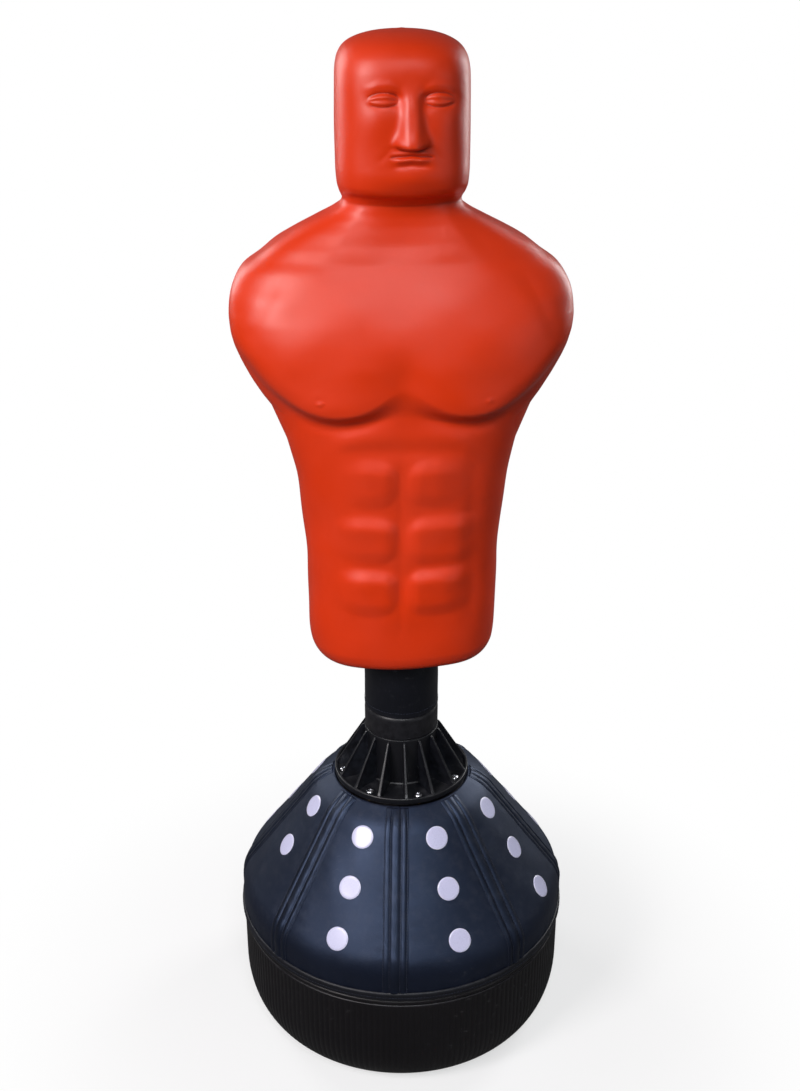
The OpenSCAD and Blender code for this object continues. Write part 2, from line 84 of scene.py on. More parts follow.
def meshObject(name, points, faces, smooth=True):
    data = bpy.data.meshes.new(name)
    data.from_pydata(np.asarray(points, float).tolist(), [], [list(map(int, f)) for f in faces])
    data.validate()
    data.polygons.foreach_set("use_smooth", [smooth] * len(data.polygons))
    piece = bpy.data.objects.new(name, data)
    scene.collection.objects.link(piece)
    return piece


def gridFaces(rows, cols, first=0, closed=True):
    # quads of a grid whose columns run round in the sense that makes faces look outwards
    r = np.arange(rows - 1)[:, None] * cols
    c = np.arange(cols if closed else cols - 1)[None, :]
    d = (c + 1) % cols
    quads = np.stack([r + c, r + d, r + cols + d, r + cols + c], -1).reshape(-1, 4)
    return quads + first


def closeGrid(rows, cols):
    # quads that join the last row of a grid back to its first
    last = (rows - 1) * cols
    return [(last + j, last + (j + 1) % cols, (j + 1) % cols, j) for j in range(cols)]


def ringRow(radius, turns, z):
    # one row of points round the upright axis
    turns = np.asarray(turns, float)
    return np.stack([radius * np.sin(turns), -radius * np.cos(turns), z + 0 * turns], -1)


def objectFromShape(name, shape):
    data = bpy.data.meshes.new(name)
    shape.to_mesh(data)
    shape.free()
    piece = bpy.data.objects.new(name, data)
    scene.collection.objects.link(piece)
    return piece


def faceOutwards(piece, mergeWithin=None):
    # points every face out of a closed shape, after merging its doubles if asked
    shape = bmesh.new()
    shape.from_mesh(piece.data)
    if mergeWithin:
        bmesh.ops.remove_doubles(shape, verts=shape.verts, dist=mergeWithin)
    bmesh.ops.recalc_face_normals(shape, faces=shape.faces)
    shape.to_mesh(piece.data)
    shape.free()
    return piece


def bearingPoint(radius, degrees, z):
    b = math.radians(degrees)
    return Vector((radius * math.sin(b), -radius * math.cos(b), z))


def lathe(profile, sides, closeLow=False, closeHigh=False):
    # profile from bottom to top as (radius, z); outside of the form on the outside of the line
    t = np.linspace(0, 2 * np.pi, sides, endpoint=False)
    p = np.asarray(profile, float)
    points = np.stack([np.outer(p[:, 0], np.sin(t)), -np.outer(p[:, 0], np.cos(t)),
                       np.repeat(p[:, 1:2], sides, 1)], -1).reshape(-1, 3)
    faces = [tuple(q) for q in gridFaces(len(p), sides)]
    points = points.tolist()
    if closeLow:
        points.append([0, 0, float(p[0, 1])])
        faces += [((j + 1) % sides, j, len(points) - 1) for j in range(sides)]
    if closeHigh:
        top = (len(p) - 1) * sides
        points.append([0, 0, float(p[-1, 1])])
        faces += [(top + j, top + (j + 1) % sides, len(points) - 1) for j in range(sides)]
    return np.array(points), faces


def rounded(profile, radius, steps=4):
    # rounds the inner corners of a polyline
    out = [profile[0]]
    for before, at, after in zip(profile, profile[1:], profile[2:]):
        a, b, c = Vector(before), Vector(at), Vector(after)
        r = min(radius, (a - b).length * 0.45, (c - b).length * 0.45)
        start, end = b + (a - b).normalized() * r, b + (c - b).normalized() * r
        for k in range(steps + 1):
            t = k / steps
            out.append(tuple((1 - t) ** 2 * start + 2 * t * (1 - t) * b + t * t * end))
    out.append(profile[-1])
    return out


def feed(tree, socket, value):
    # a number, name or colour is set on the socket, another node's output is linked to it
    if isinstance(value, (int, float, str, tuple)):
        socket.default_value = value
    elif value is not None:
        tree.links.new(value, socket)


def addNode(tree, kind, feeds=None, **looks):
    # a node with its properties set by name, and its inputs fed by label or number
    node = tree.nodes.new(kind)
    for label, value in looks.items():
        setattr(node, label, value)
    for place, value in (feeds or {}).items():
        feed(tree, node.inputs[place], value)
    return node


def mathNode(tree, operation, a, b=None):
    return addNode(tree, "ShaderNodeMath", {0: a, 1: b}, operation=operation).outputs[0]


# camera and light

cameraSettings = {
    "bearing": -4.5, "distance": 1.98, "height": 1.767,     # where it stands
    "pitch": 23.85, "aim": 4.4355, "lens": 44.0,            # degrees down, heading, millimetres
}


def makeCamera(s):
    data = bpy.data.cameras.new("camera")
    data.sensor_fit, data.sensor_width, data.lens = "AUTO", 36.0, s["lens"]
    data.clip_start, data.clip_end = 0.05, 60.0
    camera = bpy.data.objects.new("camera", data)
    scene.collection.objects.link(camera)
    camera.location = bearingPoint(s["distance"], s["bearing"], s["height"])
    heading, pitch = math.radians(s["aim"]), math.radians(s["pitch"])
    look = Vector((math.sin(heading) * math.cos(pitch), math.cos(heading) * math.cos(pitch), -math.sin(pitch)))
    camera.rotation_mode = "QUATERNION"
    camera.rotation_quaternion = look.to_track_quat("-Z", "Y")
    scene.camera = camera


lightSettings = {
    "key": {"place": (-2.15, -1.9, 2.70), "aim": (0, 0, 1.15), "size": (1.1, 1.3), "power": 84,
            "colour": (1.0, 0.95, 0.96)},
    "front": {"place": (0.02, -2.1, 2.65), "aim": (0, 0, 0.20), "size": (0.75, 1.2), "power": 2.6, "spread": 44,
              "colour": (0.93, 0.96, 1.0)},
    "fill": {"place": (2.6, -2.4, 1.3), "aim": (0, 0, 0.9), "size": (1.6, 2.2), "power": 8,
             "colour": (0.95, 0.97, 1.0)},
    "rim": {"place": (2.3, 1.7, 1.9), "aim": (0, 0, 1.1), "size": (1.0, 2.0), "power": 40,
            "colour": (1.0, 1.0, 1.0)},
    "back": {"place": (-2.2, 2.2, 2.1), "aim": (0, 0, 1.1), "size": (1.2, 1.8), "power": 36,
             "colour": (1.0, 1.0, 1.0)},
}


def makeLights(table):
    for name, s in table.items():
        data = bpy.data.lights.new(name, "AREA")
        data.shape, data.size, data.size_y = "RECTANGLE", s["size"][0], s["size"][1]
        data.energy, data.color = s["power"], s["colour"]
        data.spread = math.radians(s.get("spread", 180))
        light = bpy.data.objects.new(name, data)
        scene.collection.objects.link(light)
        light.location = s["place"]
        light.rotation_mode = "QUATERNION"
        light.rotation_quaternion = (Vector(s["aim"]) - Vector(s["place"])).to_track_quat("-Z", "Y")


def makeWorld(seen=1.0, lit=0.08):
    # a white backdrop for the eye, and a faint even light on the object
    world = bpy.data.worlds.new("studio")
    scene.world = world
    world.use_nodes = True
    tree = world.node_tree
    tree.nodes.clear()
    path = addNode(tree, "ShaderNodeLightPath").outputs["Is Camera Ray"]
    shown = addNode(tree, "ShaderNodeBackground", {"Color": (1, 1, 1, 1), "Strength": seen})
    glow = addNode(tree, "ShaderNodeBackground", {"Color": (0.97, 0.98, 1.0, 1), "Strength": lit})
    mix = addNode(tree, "ShaderNodeMixShader", {0: path, 1: glow.outputs[0], 2: shown.outputs[0]})
    addNode(tree, "ShaderNodeOutputWorld", {0: mix.outputs[0]})


makeCamera(cameraSettings)
makeLights(lightSettings)
makeWorld()
scene.view_settings.view_transform = "Standard"
print("camera and lights set")


# torso and head, one moulded skin: sections set out up a centre line, then sculpted

# height, half width, front depth, back depth, squareness, shift back
figureSections = np.array([
    (0.7120, 0.1215, 0.086, 0.084, 2.5, 0), (0.7150, 0.1320, 0.094, 0.090, 2.5, 0),
    (0.7210, 0.1405, 0.100, 0.096, 2.5, 0), (0.7300, 0.1460, 0.1035, 0.099, 2.55, 0),
    (0.7420, 0.1495, 0.1055, 0.101, 2.6, 0), (0.7700, 0.1520, 0.1060, 0.103, 2.6, 0),
    (0.8250, 0.1530, 0.1050, 0.104, 2.6, 0), (0.8820, 0.1530, 0.1030, 0.104, 2.6, 0),
    (0.9430, 0.1572, 0.1035, 0.106, 2.6, 0), (0.9850, 0.1610, 0.1050, 0.108, 2.6, 0),
    (1.0260, 0.1655, 0.1075, 0.110, 2.6, 0), (1.0660, 0.1735, 0.1100, 0.113, 2.6, 0),
    (1.0980, 0.1815, 0.1118, 0.116, 2.55, 0), (1.1250, 0.1895, 0.1130, 0.118, 2.5, 0),
    (1.1440, 0.2005, 0.1140, 0.120, 2.45, 0), (1.1640, 0.2155, 0.1150, 0.121, 2.4, 0),
    (1.1830, 0.2285, 0.1158, 0.122, 2.35, 0), (1.2020, 0.2386, 0.1165, 0.123, 2.35, 0),
    (1.2210, 0.2474, 0.1170, 0.124, 2.35, 0), (1.2390, 0.2545, 0.1165, 0.124, 2.35, 0),
    (1.2580, 0.2584, 0.1155, 0.124, 2.35, 0), (1.2760, 0.2590, 0.1135, 0.123, 2.35, 0),
    (1.2950, 0.2575, 0.1105, 0.121, 2.35, 0.001), (1.3130, 0.2545, 0.1060, 0.118, 2.4, 0.002),
    (1.3310, 0.2480, 0.1005, 0.114, 2.45, 0.004), (1.3490, 0.2360, 0.0935, 0.109, 2.6, 0.006),
    (1.3660, 0.2130, 0.0860, 0.104, 2.8, 0.008), (1.3840, 0.1900, 0.0780, 0.098, 2.9, 0.008),
    (1.4010, 0.1600, 0.0705, 0.092, 2.9, 0.006), (1.4190, 0.1265, 0.0645, 0.085, 2.8, 0.004),
    (1.4330, 0.1000, 0.0620, 0.080, 2.7, 0.002), (1.4420, 0.0885, 0.0620, 0.077, 2.7, 0.001),
    (1.4475, 0.0868, 0.0680, 0.076, 2.75, 0), (1.4530, 0.0885, 0.0800, 0.078, 2.8, 0),
    (1.4600, 0.0915, 0.0905, 0.081, 2.9, 0), (1.4720, 0.0945, 0.0965, 0.086, 3.0, 0),
    (1.4950, 0.0958, 0.1000, 0.092, 3.0, 0), (1.5400, 0.0958, 0.1010, 0.098, 3.0, 0),
    (1.5900, 0.0955, 0.1000, 0.102, 3.0, 0), (1.6200, 0.0948, 0.0975, 0.101, 2.95, 0),
    (1.6380, 0.0920, 0.0930, 0.097, 2.85, 0), (1.6500, 0.0865, 0.0860, 0.090, 2.7, 0),
    (1.6580, 0.0790, 0.0775, 0.081, 2.6, 0), (1.6640, 0.0690, 0.0670, 0.070, 2.5, 0),
    (1.6690, 0.0560, 0.0540, 0.057, 2.4, 0), (1.6730, 0.0400, 0.0385, 0.041, 2.3, 0),
    (1.6755, 0.0220, 0.0210, 0.022, 2.1, 0), (1.6765, 0.0080, 0.0080, 0.008, 2.0, 0)])

torsoSettings = {
    "columns": 256, "frontDense": 0.52, "wall": 0.004, "unevenness": 0.0010, "fill": 1.0,
    "neckLine": (1.443, 1.458),     # the chest is sculpted below it, the face above
    "crown": 0.0003, "innerTop": 1.40,
    # how far the moulded forms sit off the middle
    "chestShift": 0.004, "stomachShift": 0.0085, "faceShift": 0.0065,
    # heights, widths and depths of the moulded forms
    "chest": {"edge": 1.1435, "lobe": 0.097, "height": 0.0165, "lip": 0.0028, "hollow": 0.0022,
              "nipple": (0.117, 1.1725)},
    "back": {"spine": 0.0060, "blade": 0.0105, "bladeAt": (0.118, 1.268)},
    "face": {"noseTop": 1.600, "noseTall": 0.068, "noseFoot": 1.5290, "brow": 1.5975, "browRise": 0.0095,
             "eye": (0.039, 1.5900), "eyeHalf": 0.0200, "lidUp": 1.5940, "lidLow": 1.5858,
             "mouth": 1.5168, "chin": 1.4850, "forehead": 1.632},
    # how close rings stand: (up to this height, distance between rings)
    "rings": [(0.74, 0.0022), (1.10, 0.0038), (1.25, 0.0032), (1.42, 0.0044), (1.47, 0.0019),
              (1.612, 0.00128), (1.70, 0.0026)],
}

# stomach pads: side, top, bottom, inner edge, outer edge, height
stomachPads = [(-1, 1.080, 1.002, 0.008, 0.094, 0.0066), (1, 1.080, 1.002, 0.011, 0.096, 0.0064),
               (-1, 0.988, 0.906, 0.007, 0.106, 0.0080), (1, 0.988, 0.902, 0.011, 0.130, 0.0074),
               (-1, 0.898, 0.818, 0.006, 0.103, 0.0088), (1, 0.900, 0.818, 0.010, 0.112, 0.0092)]


def ringHeights(s):
    # places along the section line, by its own length so the crown of the head is covered evenly
    line = figureSections[:, :2]
    length = np.concatenate([[0], np.cumsum(np.hypot(*np.diff(line, axis=0).T))])
    fine = np.linspace(0, length[-1], 6000)
    z = evenCurve(length, figureSections[:, 0], fine)
    pitch = np.empty_like(fine)
    for top, gap in reversed(s["rings"]):
        pitch[z <= top] = gap
    pitch = np.convolve(np.pad(pitch, 60, mode="edge"), np.ones(121) / 121, "valid")
    count = np.concatenate([[0], np.cumsum((fine[1:] - fine[:-1]) / pitch[1:])])
    rings = int(round(count[-1]))
    return length, np.interp(np.linspace(0, count[-1], rings + 1), count, fine)


def figureShell(rows, bearings, inset=0.0):
    # rings of squared ovals, one for each row of sections
    z, a, f, b, n, back = rows.T
    a, f, b = a - inset, f - inset, b - inset
    s, c = np.sin(bearings)[None, :], np.cos(bearings)[None, :]
    deep = np.where(c > 0, f[:, None], b[:, None])
    r = ((np.abs(s) / a[:, None]) ** n[:, None] + (np.abs(c) / deep) ** n[:, None]) ** (-1 / n[:, None])
    return np.stack([r * s, -r * c + back[:, None], np.repeat(z[:, None], len(bearings), 1)], -1)


def gridNormals(grid):
    # outward normals of a grid that closes round
    across = np.roll(grid, -1, 1) - np.roll(grid, 1, 1)
    up = np.gradient(grid, axis=0)
    n = np.cross(across, up)
    return n / np.maximum(np.linalg.norm(n, axis=-1, keepdims=True), 1e-9)


def chestForms(s, x, z, front):
    # the chest muscles end in a curved lower edge that runs out to the shoulder stump
    u = np.sqrt(x * x + 0.0004) - 0.008
    rise = np.where(u < s["lobe"], 0.0367, 0.049)
    edge = s["edge"] + rise * ((u - s["lobe"]) / 0.1) ** 2
    d = z - edge
    upper = z - (s["edge"] + 0.045 * (x / 0.2) ** 2)
    soft = 0.011 + 0.016 * bell(u, 0, 0.035) + 0.006 * step(0.17, 0.24, u)
    plate = step(-soft, soft * 0.9, d) * (1 - step(0.03, 0.205, upper))
    valley = 0.42 - 0.30 * step(1.185, 1.26, z)
    height = s["height"] * (1 - valley * bell(u, 0, 0.045)) * (1 - 0.3 * step(0.16, 0.26, u))
    out = plate * height
    # a rounder lip just above the edge, and the hollow under it
    out += s["lip"] * bell(d, 0.022, 0.022) * (1 - bell(u, 0, 0.05)) * (1 - step(0.2, 0.26, u))
    out -= s["hollow"] * bell(d, -0.016, 0.010) * (1 - bell(u, 0, 0.03)) * (1 - step(0.17, 0.24, u))
    # the shallow groove at the foot of the breastbone
    out -= 0.0016 * bell(x, 0, 0.020) * between(z, 1.170, 1.235, 0.03)
    # shallow dip where chest meets shoulder
    dip = u - (0.168 + (1.352 - z) * 0.55)
    out -= 0.0016 * bell(dip, 0, 0.012) * between(z, 1.245, 1.34, 0.02)
    # neck plane, collar bones
    wedge = 0.062 + (1.44 - z) * 0.75
    out += 0.0026 * (1 - step(wedge - 0.016, wedge + 0.016, u)) * between(z, 1.375, 1.47, 0.035)
    out += 0.0007 * bell(z - 1.372 - 0.10 * u, 0, 0.016) * between(u, 0.03, 0.15, 0.03)
    # nipples
    spot = np.hypot(u - s["nipple"][0], z - s["nipple"][1])
    out += 0.0022 * bell(spot, 0, 0.0034) - 0.0006 * bell(spot, 0.0062, 0.0028)
    return out * front


def stomachForms(x, z, front):
    u = np.abs(x)
    out = 0.0014 * (1 - step(0.085, 0.115, u)) * between(z, 0.80, 1.085, 0.018)
    # arch of the ribs over the pads, and the dip under it
    arch = z - (1.116 - 3.5 * np.maximum(u - 0.03, 0) ** 2)
    out += 0.0018 * bell(arch, 0, 0.015) * (1 - step(0.075, 0.125, u)) * (1 - 0.35 * bell(u, 0, 0.02))
    out -= 0.0012 * bell(z, 1.092, 0.011) * (1 - step(0.06, 0.105, u))
    for side, top, low, inner, outer, height in stomachPads:
        v = side * x
        bow = 0.007 * ((v - (inner + outer) * 0.45) / ((outer - inner) / 2)) ** 2
        rise = step(low - 0.009, low + 0.026, z - bow)
        fall = 1 - step(top - 0.024, top + 0.006, z + bow)
        sides = step(inner - 0.010, inner + 0.021, v) * (1 - step(outer - 0.048, outer + 0.010, v))
        crown = 0.72 + 0.28 * bell(z, top - 0.022, 0.022)
        across = (v - (inner + outer) / 2) / ((outer - inner) / 2)
        along = (z - (top + low) / 2) / ((top - low) / 2)
        corners = 1 - step(0.75, 1.75, np.abs(across) ** 2.6 + np.abs(along) ** 2.6)
        out += height * rise * fall * sides * crown * corners
    out -= 0.0010 * bell(x, 0, 0.008) * between(z, 0.79, 1.08, 0.02)
    # flank beside the pads
    out -= 0.0012 * bell(u, 0.112, 0.014) * between(z, 0.80, 1.06, 0.03)
    return out * front


def backForms(s, x, z, rear):
    u = np.abs(x)
    out = -s["spine"] * bell(x, 0, 0.013) * between(z, 0.76, 1.40, 0.04)
    out += 0.0045 * bell(u, 0.036, 0.020) * between(z, 0.77, 1.13, 0.05)
    besideBlade = u - s["bladeAt"][0] + (z - 1.27) * 0.25
    blade = np.hypot(besideBlade / 0.070, (z - s["bladeAt"][1]) / 0.085)
    out += s["blade"] * (1 - step(0.35, 1.08, blade))
    out += 0.0040 * bell(blade, 0.98, 0.16) * (z > 1.20) * 0.4
    out += 0.0050 * bell(z - 1.12 - 0.55 * (u - 0.08), 0, 0.045) * between(u, 0.05, 0.19, 0.03)
    out -= 0.0022 * bell(z - 1.045 - 0.95 * (u - 0.06), 0, 0.012) * between(u, 0.045, 0.15, 0.02)
    out += 0.0040 * bell(u, 0.05, 0.03) * between(z, 1.32, 1.42, 0.03)
    return out * rear


def headForms(s, x, z, front):
    u = np.abs(x)
    mm = 0.001
    # nose: a broad soft front, steep sides, flat underside a little lower at the tip
    nose = np.clip((s["noseTop"] - z) / s["noseTall"], 0, 1)
    wide = (12.5 + 7.5 * nose ** 1.7) * mm
    ridge = (3.5 + 13.0 * nose ** 1.10) * mm
    side = np.exp(-(u / (wide * 0.95)) ** 2.9)
    foot = s["noseFoot"] - 0.0040 * (1 - np.minimum(u / 0.020, 1) ** 2)
    out = ridge * side * (1 - step(1.578, 1.618, z)) * step(foot - 0.0026, foot + 0.0034, z)
    out += 1.8 * mm * bell(u, 0, 0.014) * bell(z, 1.5375, 0.010)
    out += 2.4 * mm * bell(u, 0.0190, 0.0064) * bell(z, 1.5355, 0.0076)
    # brow, eye sockets
    brow = z - (s["brow"] + s["browRise"] * step(0.008, 0.034, u) - 0.0050 * step(0.042, 0.062, u))
    out += 1.7 * mm * bell(brow, 0.0010, 0.0058) * between(u, 0.012, 0.060, 0.010)
    out -= 3.0 * mm * np.exp(-np.abs((u - 0.036) / 0.026) ** 3 - np.abs((z - 1.5905) / 0.0140) ** 2.2)
    out -= 3.4 * mm * bell(u, 0.0205, 0.0085) * bell(z, 1.5915, 0.0120)
    # eyeballs with their lids
    across = (u - s["eye"][0]) / s["eyeHalf"]
    ball = np.maximum(1 - across ** 2 - ((z - s["eye"][1]) / 0.0092) ** 2, 0)
    out += 3.6 * mm * ball ** 0.85
    ends = 1 - step(0.72, 1.18, np.abs(across))
    upper = s["lidUp"] - 0.0045 * across ** 2 - 0.0010 * across
    lower = s["lidLow"] + 0.0026 * across ** 2
    out += ends * mm * (0.8 * bell(z, upper + 0.0002, 0.0021) - 1.0 * bell(z, upper + 0.0046, 0.0023)
                        + 0.6 * bell(z, upper + 0.0080, 0.0026))
    out += ends * mm * (0.7 * bell(z, lower - 0.0010, 0.0018) - 0.9 * bell(z, lower - 0.0055, 0.0022))
    out -= 0.5 * mm * ends * bell(z, (upper + lower) / 2, 0.0016)
    # mouth, its line a little down at the corners
    line = s["mouth"] - 0.0016 * (u / 0.028) ** 2 + 0.0008 * bell(u, 0, 0.006)
    out += 2.6 * mm * bell(u, 0, 0.036) * bell(z, 1.5125, 0.021)
    out -= 2.2 * mm * bell(z, line, 0.0019) * (1 - step(0.0250, 0.0330, u))
    out += 1.6 * mm * bell(z, line + 0.0040, 0.0026) * (1 - step(0.015, 0.030, u))
    out += 3.2 * mm * bell(z, line - 0.0052, 0.0038) * (1 - step(0.012, 0.0280, u))
    out -= 2.0 * mm * bell(z, line - 0.0128, 0.0042) * (1 - step(0.012, 0.034, u))
    out -= 0.6 * mm * bell(u - 0.0290 - (1.527 - z) * 0.75, 0, 0.0060) * between(z, 1.510, 1.532, 0.006)
    # chin, cheeks, forehead
    out += 4.2 * mm * bell(u, 0, 0.034) * bell(z, s["chin"], 0.0150)
    out += 2.4 * mm * bell(u, 0.050, 0.024) * bell(z, 1.562, 0.024)
    out -= 1.0 * mm * bell(u, 0.060, 0.024) * bell(z, 1.515, 0.024)
    out += 2.4 * mm * bell(u, 0, 0.055) * bell(z, s["forehead"], 0.026)
    return out * front


def sculptTorso(s):
    length, at = ringHeights(s)
    rows = np.stack([evenCurve(length, figureSections[:, k], at) for k in range(6)], -1)
    t = np.linspace(0, 2 * np.pi, s["columns"], endpoint=False)
    bearings = t - s["frontDense"] * np.sin(t)
    grid = figureShell(rows, bearings)
    normal = gridNormals(grid)
    x, z = grid[..., 0], grid[..., 2]
    facing = -normal[..., 1]
    head = step(*s["neckLine"], z)
    front = step(0.02, 0.42, facing)
    push = (chestForms(s["chest"], x + s["chestShift"], z, step(-0.08, 0.40, facing))
            + stomachForms(x + s["stomachShift"], z, front)) * (1 - head)
    push += headForms(s["face"], x - s["faceShift"], z, step(0.10, 0.60, facing)) * head
    grid[..., 1] -= push
    grid += normal * (backForms(s["back"], x, z, step(0.05, 0.5, -facing)) * (1 - head))[..., None]
    # the chin lifts a little over the front of the neck
    sag = bell(z, 1.452, 0.016) * front
    grid[..., 1] += 0.0034 * bell(z, 1.4525, 0.0040) * front * (1 - 0.4 * step(0.05, 0.09, np.abs(x)))
    grid[..., 2] += sag * (0.0050 - 0.0030 * bell(x, 0, 0.05))
    # slight unevenness of a hand-finished casting
    wave = (np.sin(31 * x + 17 * z + 1.3) * np.sin(23 * z - 19 * grid[..., 1] + 0.4)
            + 0.7 * np.sin(58 * z + 41 * grid[..., 1] + 2.1) * np.sin(47 * x + 1.9))
    calm = 1 - 0.6 * head
    grid += normal * (wave * s["unevenness"] * calm)[..., None]
    rings, cols = grid.shape[:2]
    points = grid.reshape(-1, 3)
    faces = gridFaces(rings, cols).tolist()
    peak = len(points)
    points = np.vstack([points, [[0, 0, figureSections[-1, 0] + s["crown"]]]])
    top = (rings - 1) * cols
    faces += [(top + j, top + (j + 1) % cols, peak) for j in range(cols)]
    # inner wall in a few rings, closed under the neck
    inside = np.array([0.7120, 0.7250, 0.76, 0.86, 0.96, 1.06, 1.16, 1.26, 1.34, 1.39])
    sections = np.stack([evenCurve(figureSections[:, 0], figureSections[:, k], inside)
                         for k in range(6)], -1)
    inner = figureShell(sections, bearings, s["wall"])
    first = len(points)
    points = np.vstack([points, inner.reshape(-1, 3), [[0, 0.01, s["innerTop"]]]])
    faces += [q[::-1] for q in gridFaces(len(inside), cols, first).tolist()]
    last = first + (len(inside) - 1) * cols
    faces += [(last + (j + 1) % cols, last + j, len(points) - 1) for j in range(cols)]
    # the lower rim joins the two walls
    faces += [(j, first + j, first + (j + 1) % cols, (j + 1) % cols) for j in range(cols)]
    return meshObject("torsoSkin", points, faces)


torsoSkin = sculptTorso(torsoSettings)
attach(torsoSkin, "torso")
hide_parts("torso_skin", "torso_foam")
print("torso sculpted:", len(torsoSkin.data.polygons), "faces")


# geometry node trees for what repeats round the base and along the seams

def newTree(name, kind, inputs, outputs):
    # a node group, its inputs' values to link from, and its last node's inputs to link to
    tree = bpy.data.node_groups.new(name, kind)
    for way, rows in (("INPUT", inputs), ("OUTPUT", outputs)):
        for label, sort, *value in rows:
            item = tree.interface.new_socket(name=label, in_out=way, socket_type="NodeSocket" + sort)
            if value:
                item.default_value = value[0]
    return tree, addNode(tree, "NodeGroupInput").outputs, addNode(tree, "NodeGroupOutput").inputs


def placeCopies(tree, points, shape, rotation, finish, out):
    # the last stretch of both trees: copies on points, made real and given their finish
    source = addNode(tree, "GeometryNodeObjectInfo", {"Object": shape})
    copies = addNode(tree, "GeometryNodeInstanceOnPoints", {
        "Points": points, "Instance": source.outputs["Geometry"], "Rotation": rotation})
    real = addNode(tree, "GeometryNodeRealizeInstances", {0: copies.outputs[0]})
    paint = addNode(tree, "GeometryNodeSetMaterial", {"Geometry": real.outputs[0], "Material": finish})
    feed(tree, out[0], paint.outputs[0])


def makeRoundTree():
    # copies of one shape turned round the upright axis; Snap lets fewer copies fall on finer steps
    tree, given, out = newTree("copiesRound", "GeometryNodeTree", [
        ("Shape", "Object"), ("Count", "Int", 8), ("First", "Float", 0.0), ("Step", "Float", 0.7854),
        ("Snap", "Float", 1.0), ("Finish", "Material")], [("Geometry", "Geometry")])
    points = addNode(tree, "GeometryNodeMeshLine", {"Offset": (0, 0, 0), "Count": given["Count"]})
    index = addNode(tree, "GeometryNodeInputIndex").outputs[0]
    place = mathNode(tree, "ROUND", mathNode(tree, "MULTIPLY", index, given["Snap"]))
    turn = mathNode(tree, "ADD", mathNode(tree, "MULTIPLY", place, given["Step"]), given["First"])
    euler = addNode(tree, "ShaderNodeCombineXYZ", {"Z": turn})
    placeCopies(tree, points.outputs[0], given["Shape"], euler.outputs[0], given["Finish"], out)
    return tree


def makeStitchTree():
    # stitches laid at even steps along edges; the attribute lean says which way is off the surface
    tree, given, out = newTree("stitchRun", "GeometryNodeTree", [
        ("Geometry", "Geometry"), ("Stitch", "Object"), ("Spacing", "Float", 0.005), ("Wander", "Float", 0.08),
        ("Seed", "Int", 7), ("Thread", "Material")], [("Geometry", "Geometry")])
    curve = addNode(tree, "GeometryNodeMeshToCurve", {0: given["Geometry"]})
    points = addNode(tree, "GeometryNodeCurveToPoints", {"Curve": curve.outputs[0], "Length": given["Spacing"]},
                     mode="LENGTH").outputs
    along = addNode(tree, "FunctionNodeAlignRotationToVector", {"Vector": points["Tangent"]}, axis="X")
    lean = addNode(tree, "GeometryNodeInputNamedAttribute", {"Name": "lean"}, data_type="FLOAT_VECTOR")
    upright = addNode(tree, "FunctionNodeAlignRotationToVector", {
        "Rotation": along.outputs[0], "Vector": lean.outputs["Attribute"]}, axis="Z", pivot_axis="X")
    wander = addNode(tree, "FunctionNodeRandomValue", {
        2: mathNode(tree, "MULTIPLY", given["Wander"], -1.0), 3: given["Wander"], "Seed": given["Seed"]},
        data_type="FLOAT")
    twist = addNode(tree, "ShaderNodeCombineXYZ", {"Z": wander.outputs[1]})
    turned = addNode(tree, "FunctionNodeRotateRotation", {0: upright.outputs[0], 1: twist.outputs[0]},
                     rotation_space="LOCAL")
    placeCopies(tree, points["Points"], given["Stitch"], turned.outputs[0], given["Thread"], out)
    return tree


def grow(host, tree, values):
    # runs a tree on host and leaves its result as a plain mesh
    growth = host.modifiers.new("growth", "NODES")
    growth.node_group = tree
    for item in tree.interface.items_tree:
        if item.item_type == "SOCKET" and item.in_out == "INPUT" and item.name in values:
            growth[item.identifier] = values[item.name]
    graph = bpy.context.evaluated_depsgraph_get()
    made = bpy.data.meshes.new_from_object(host.evaluated_get(graph))
    host.modifiers.remove(growth)
    host.data = made
    made.polygons.foreach_set("use_smooth", [True] * len(made.polygons))
    return host


def copiesRound(name, shape, finish, count, first, stepTurn, snap=1.0):
    host = meshObject(name, [(0, 0, 0)], [])
    grow(host, roundTree, {"Shape": shape, "Count": count, "First": math.radians(first),
                           "Step": math.radians(stepTurn), "Snap": snap, "Finish": finish})
    bpy.data.objects.remove(shape)
    return host


roundTree = makeRoundTree()
stitchTree = makeStitchTree()


# shader groups shared by the materials

def noiseNode(tree, vector, scale, detail=3.0, rough=0.55, warp=0.0):
    return addNode(tree, "ShaderNodeTexNoise", {
        "Vector": vector, "Scale": scale, "Detail": detail, "Roughness": rough, "Distortion": warp}).outputs["Fac"]


def rangeNode(tree, value, low, high, toLow=0.0, toHigh=1.0):
    # a smooth ramp from one range of numbers to another
    return addNode(tree, "ShaderNodeMapRange", {"Value": value, 1: low, 2: high, 3: toLow, 4: toHigh},
                   interpolation_type="SMOOTHSTEP").outputs[0]


def mixColour(tree, factor, a, b):
    return addNode(tree, "ShaderNodeMix", {0: factor, 6: a, 7: b}, data_type="RGBA").outputs[2]


def objectCoords(tree):
    return tree.nodes.new("ShaderNodeTexCoord").outputs["Object"]


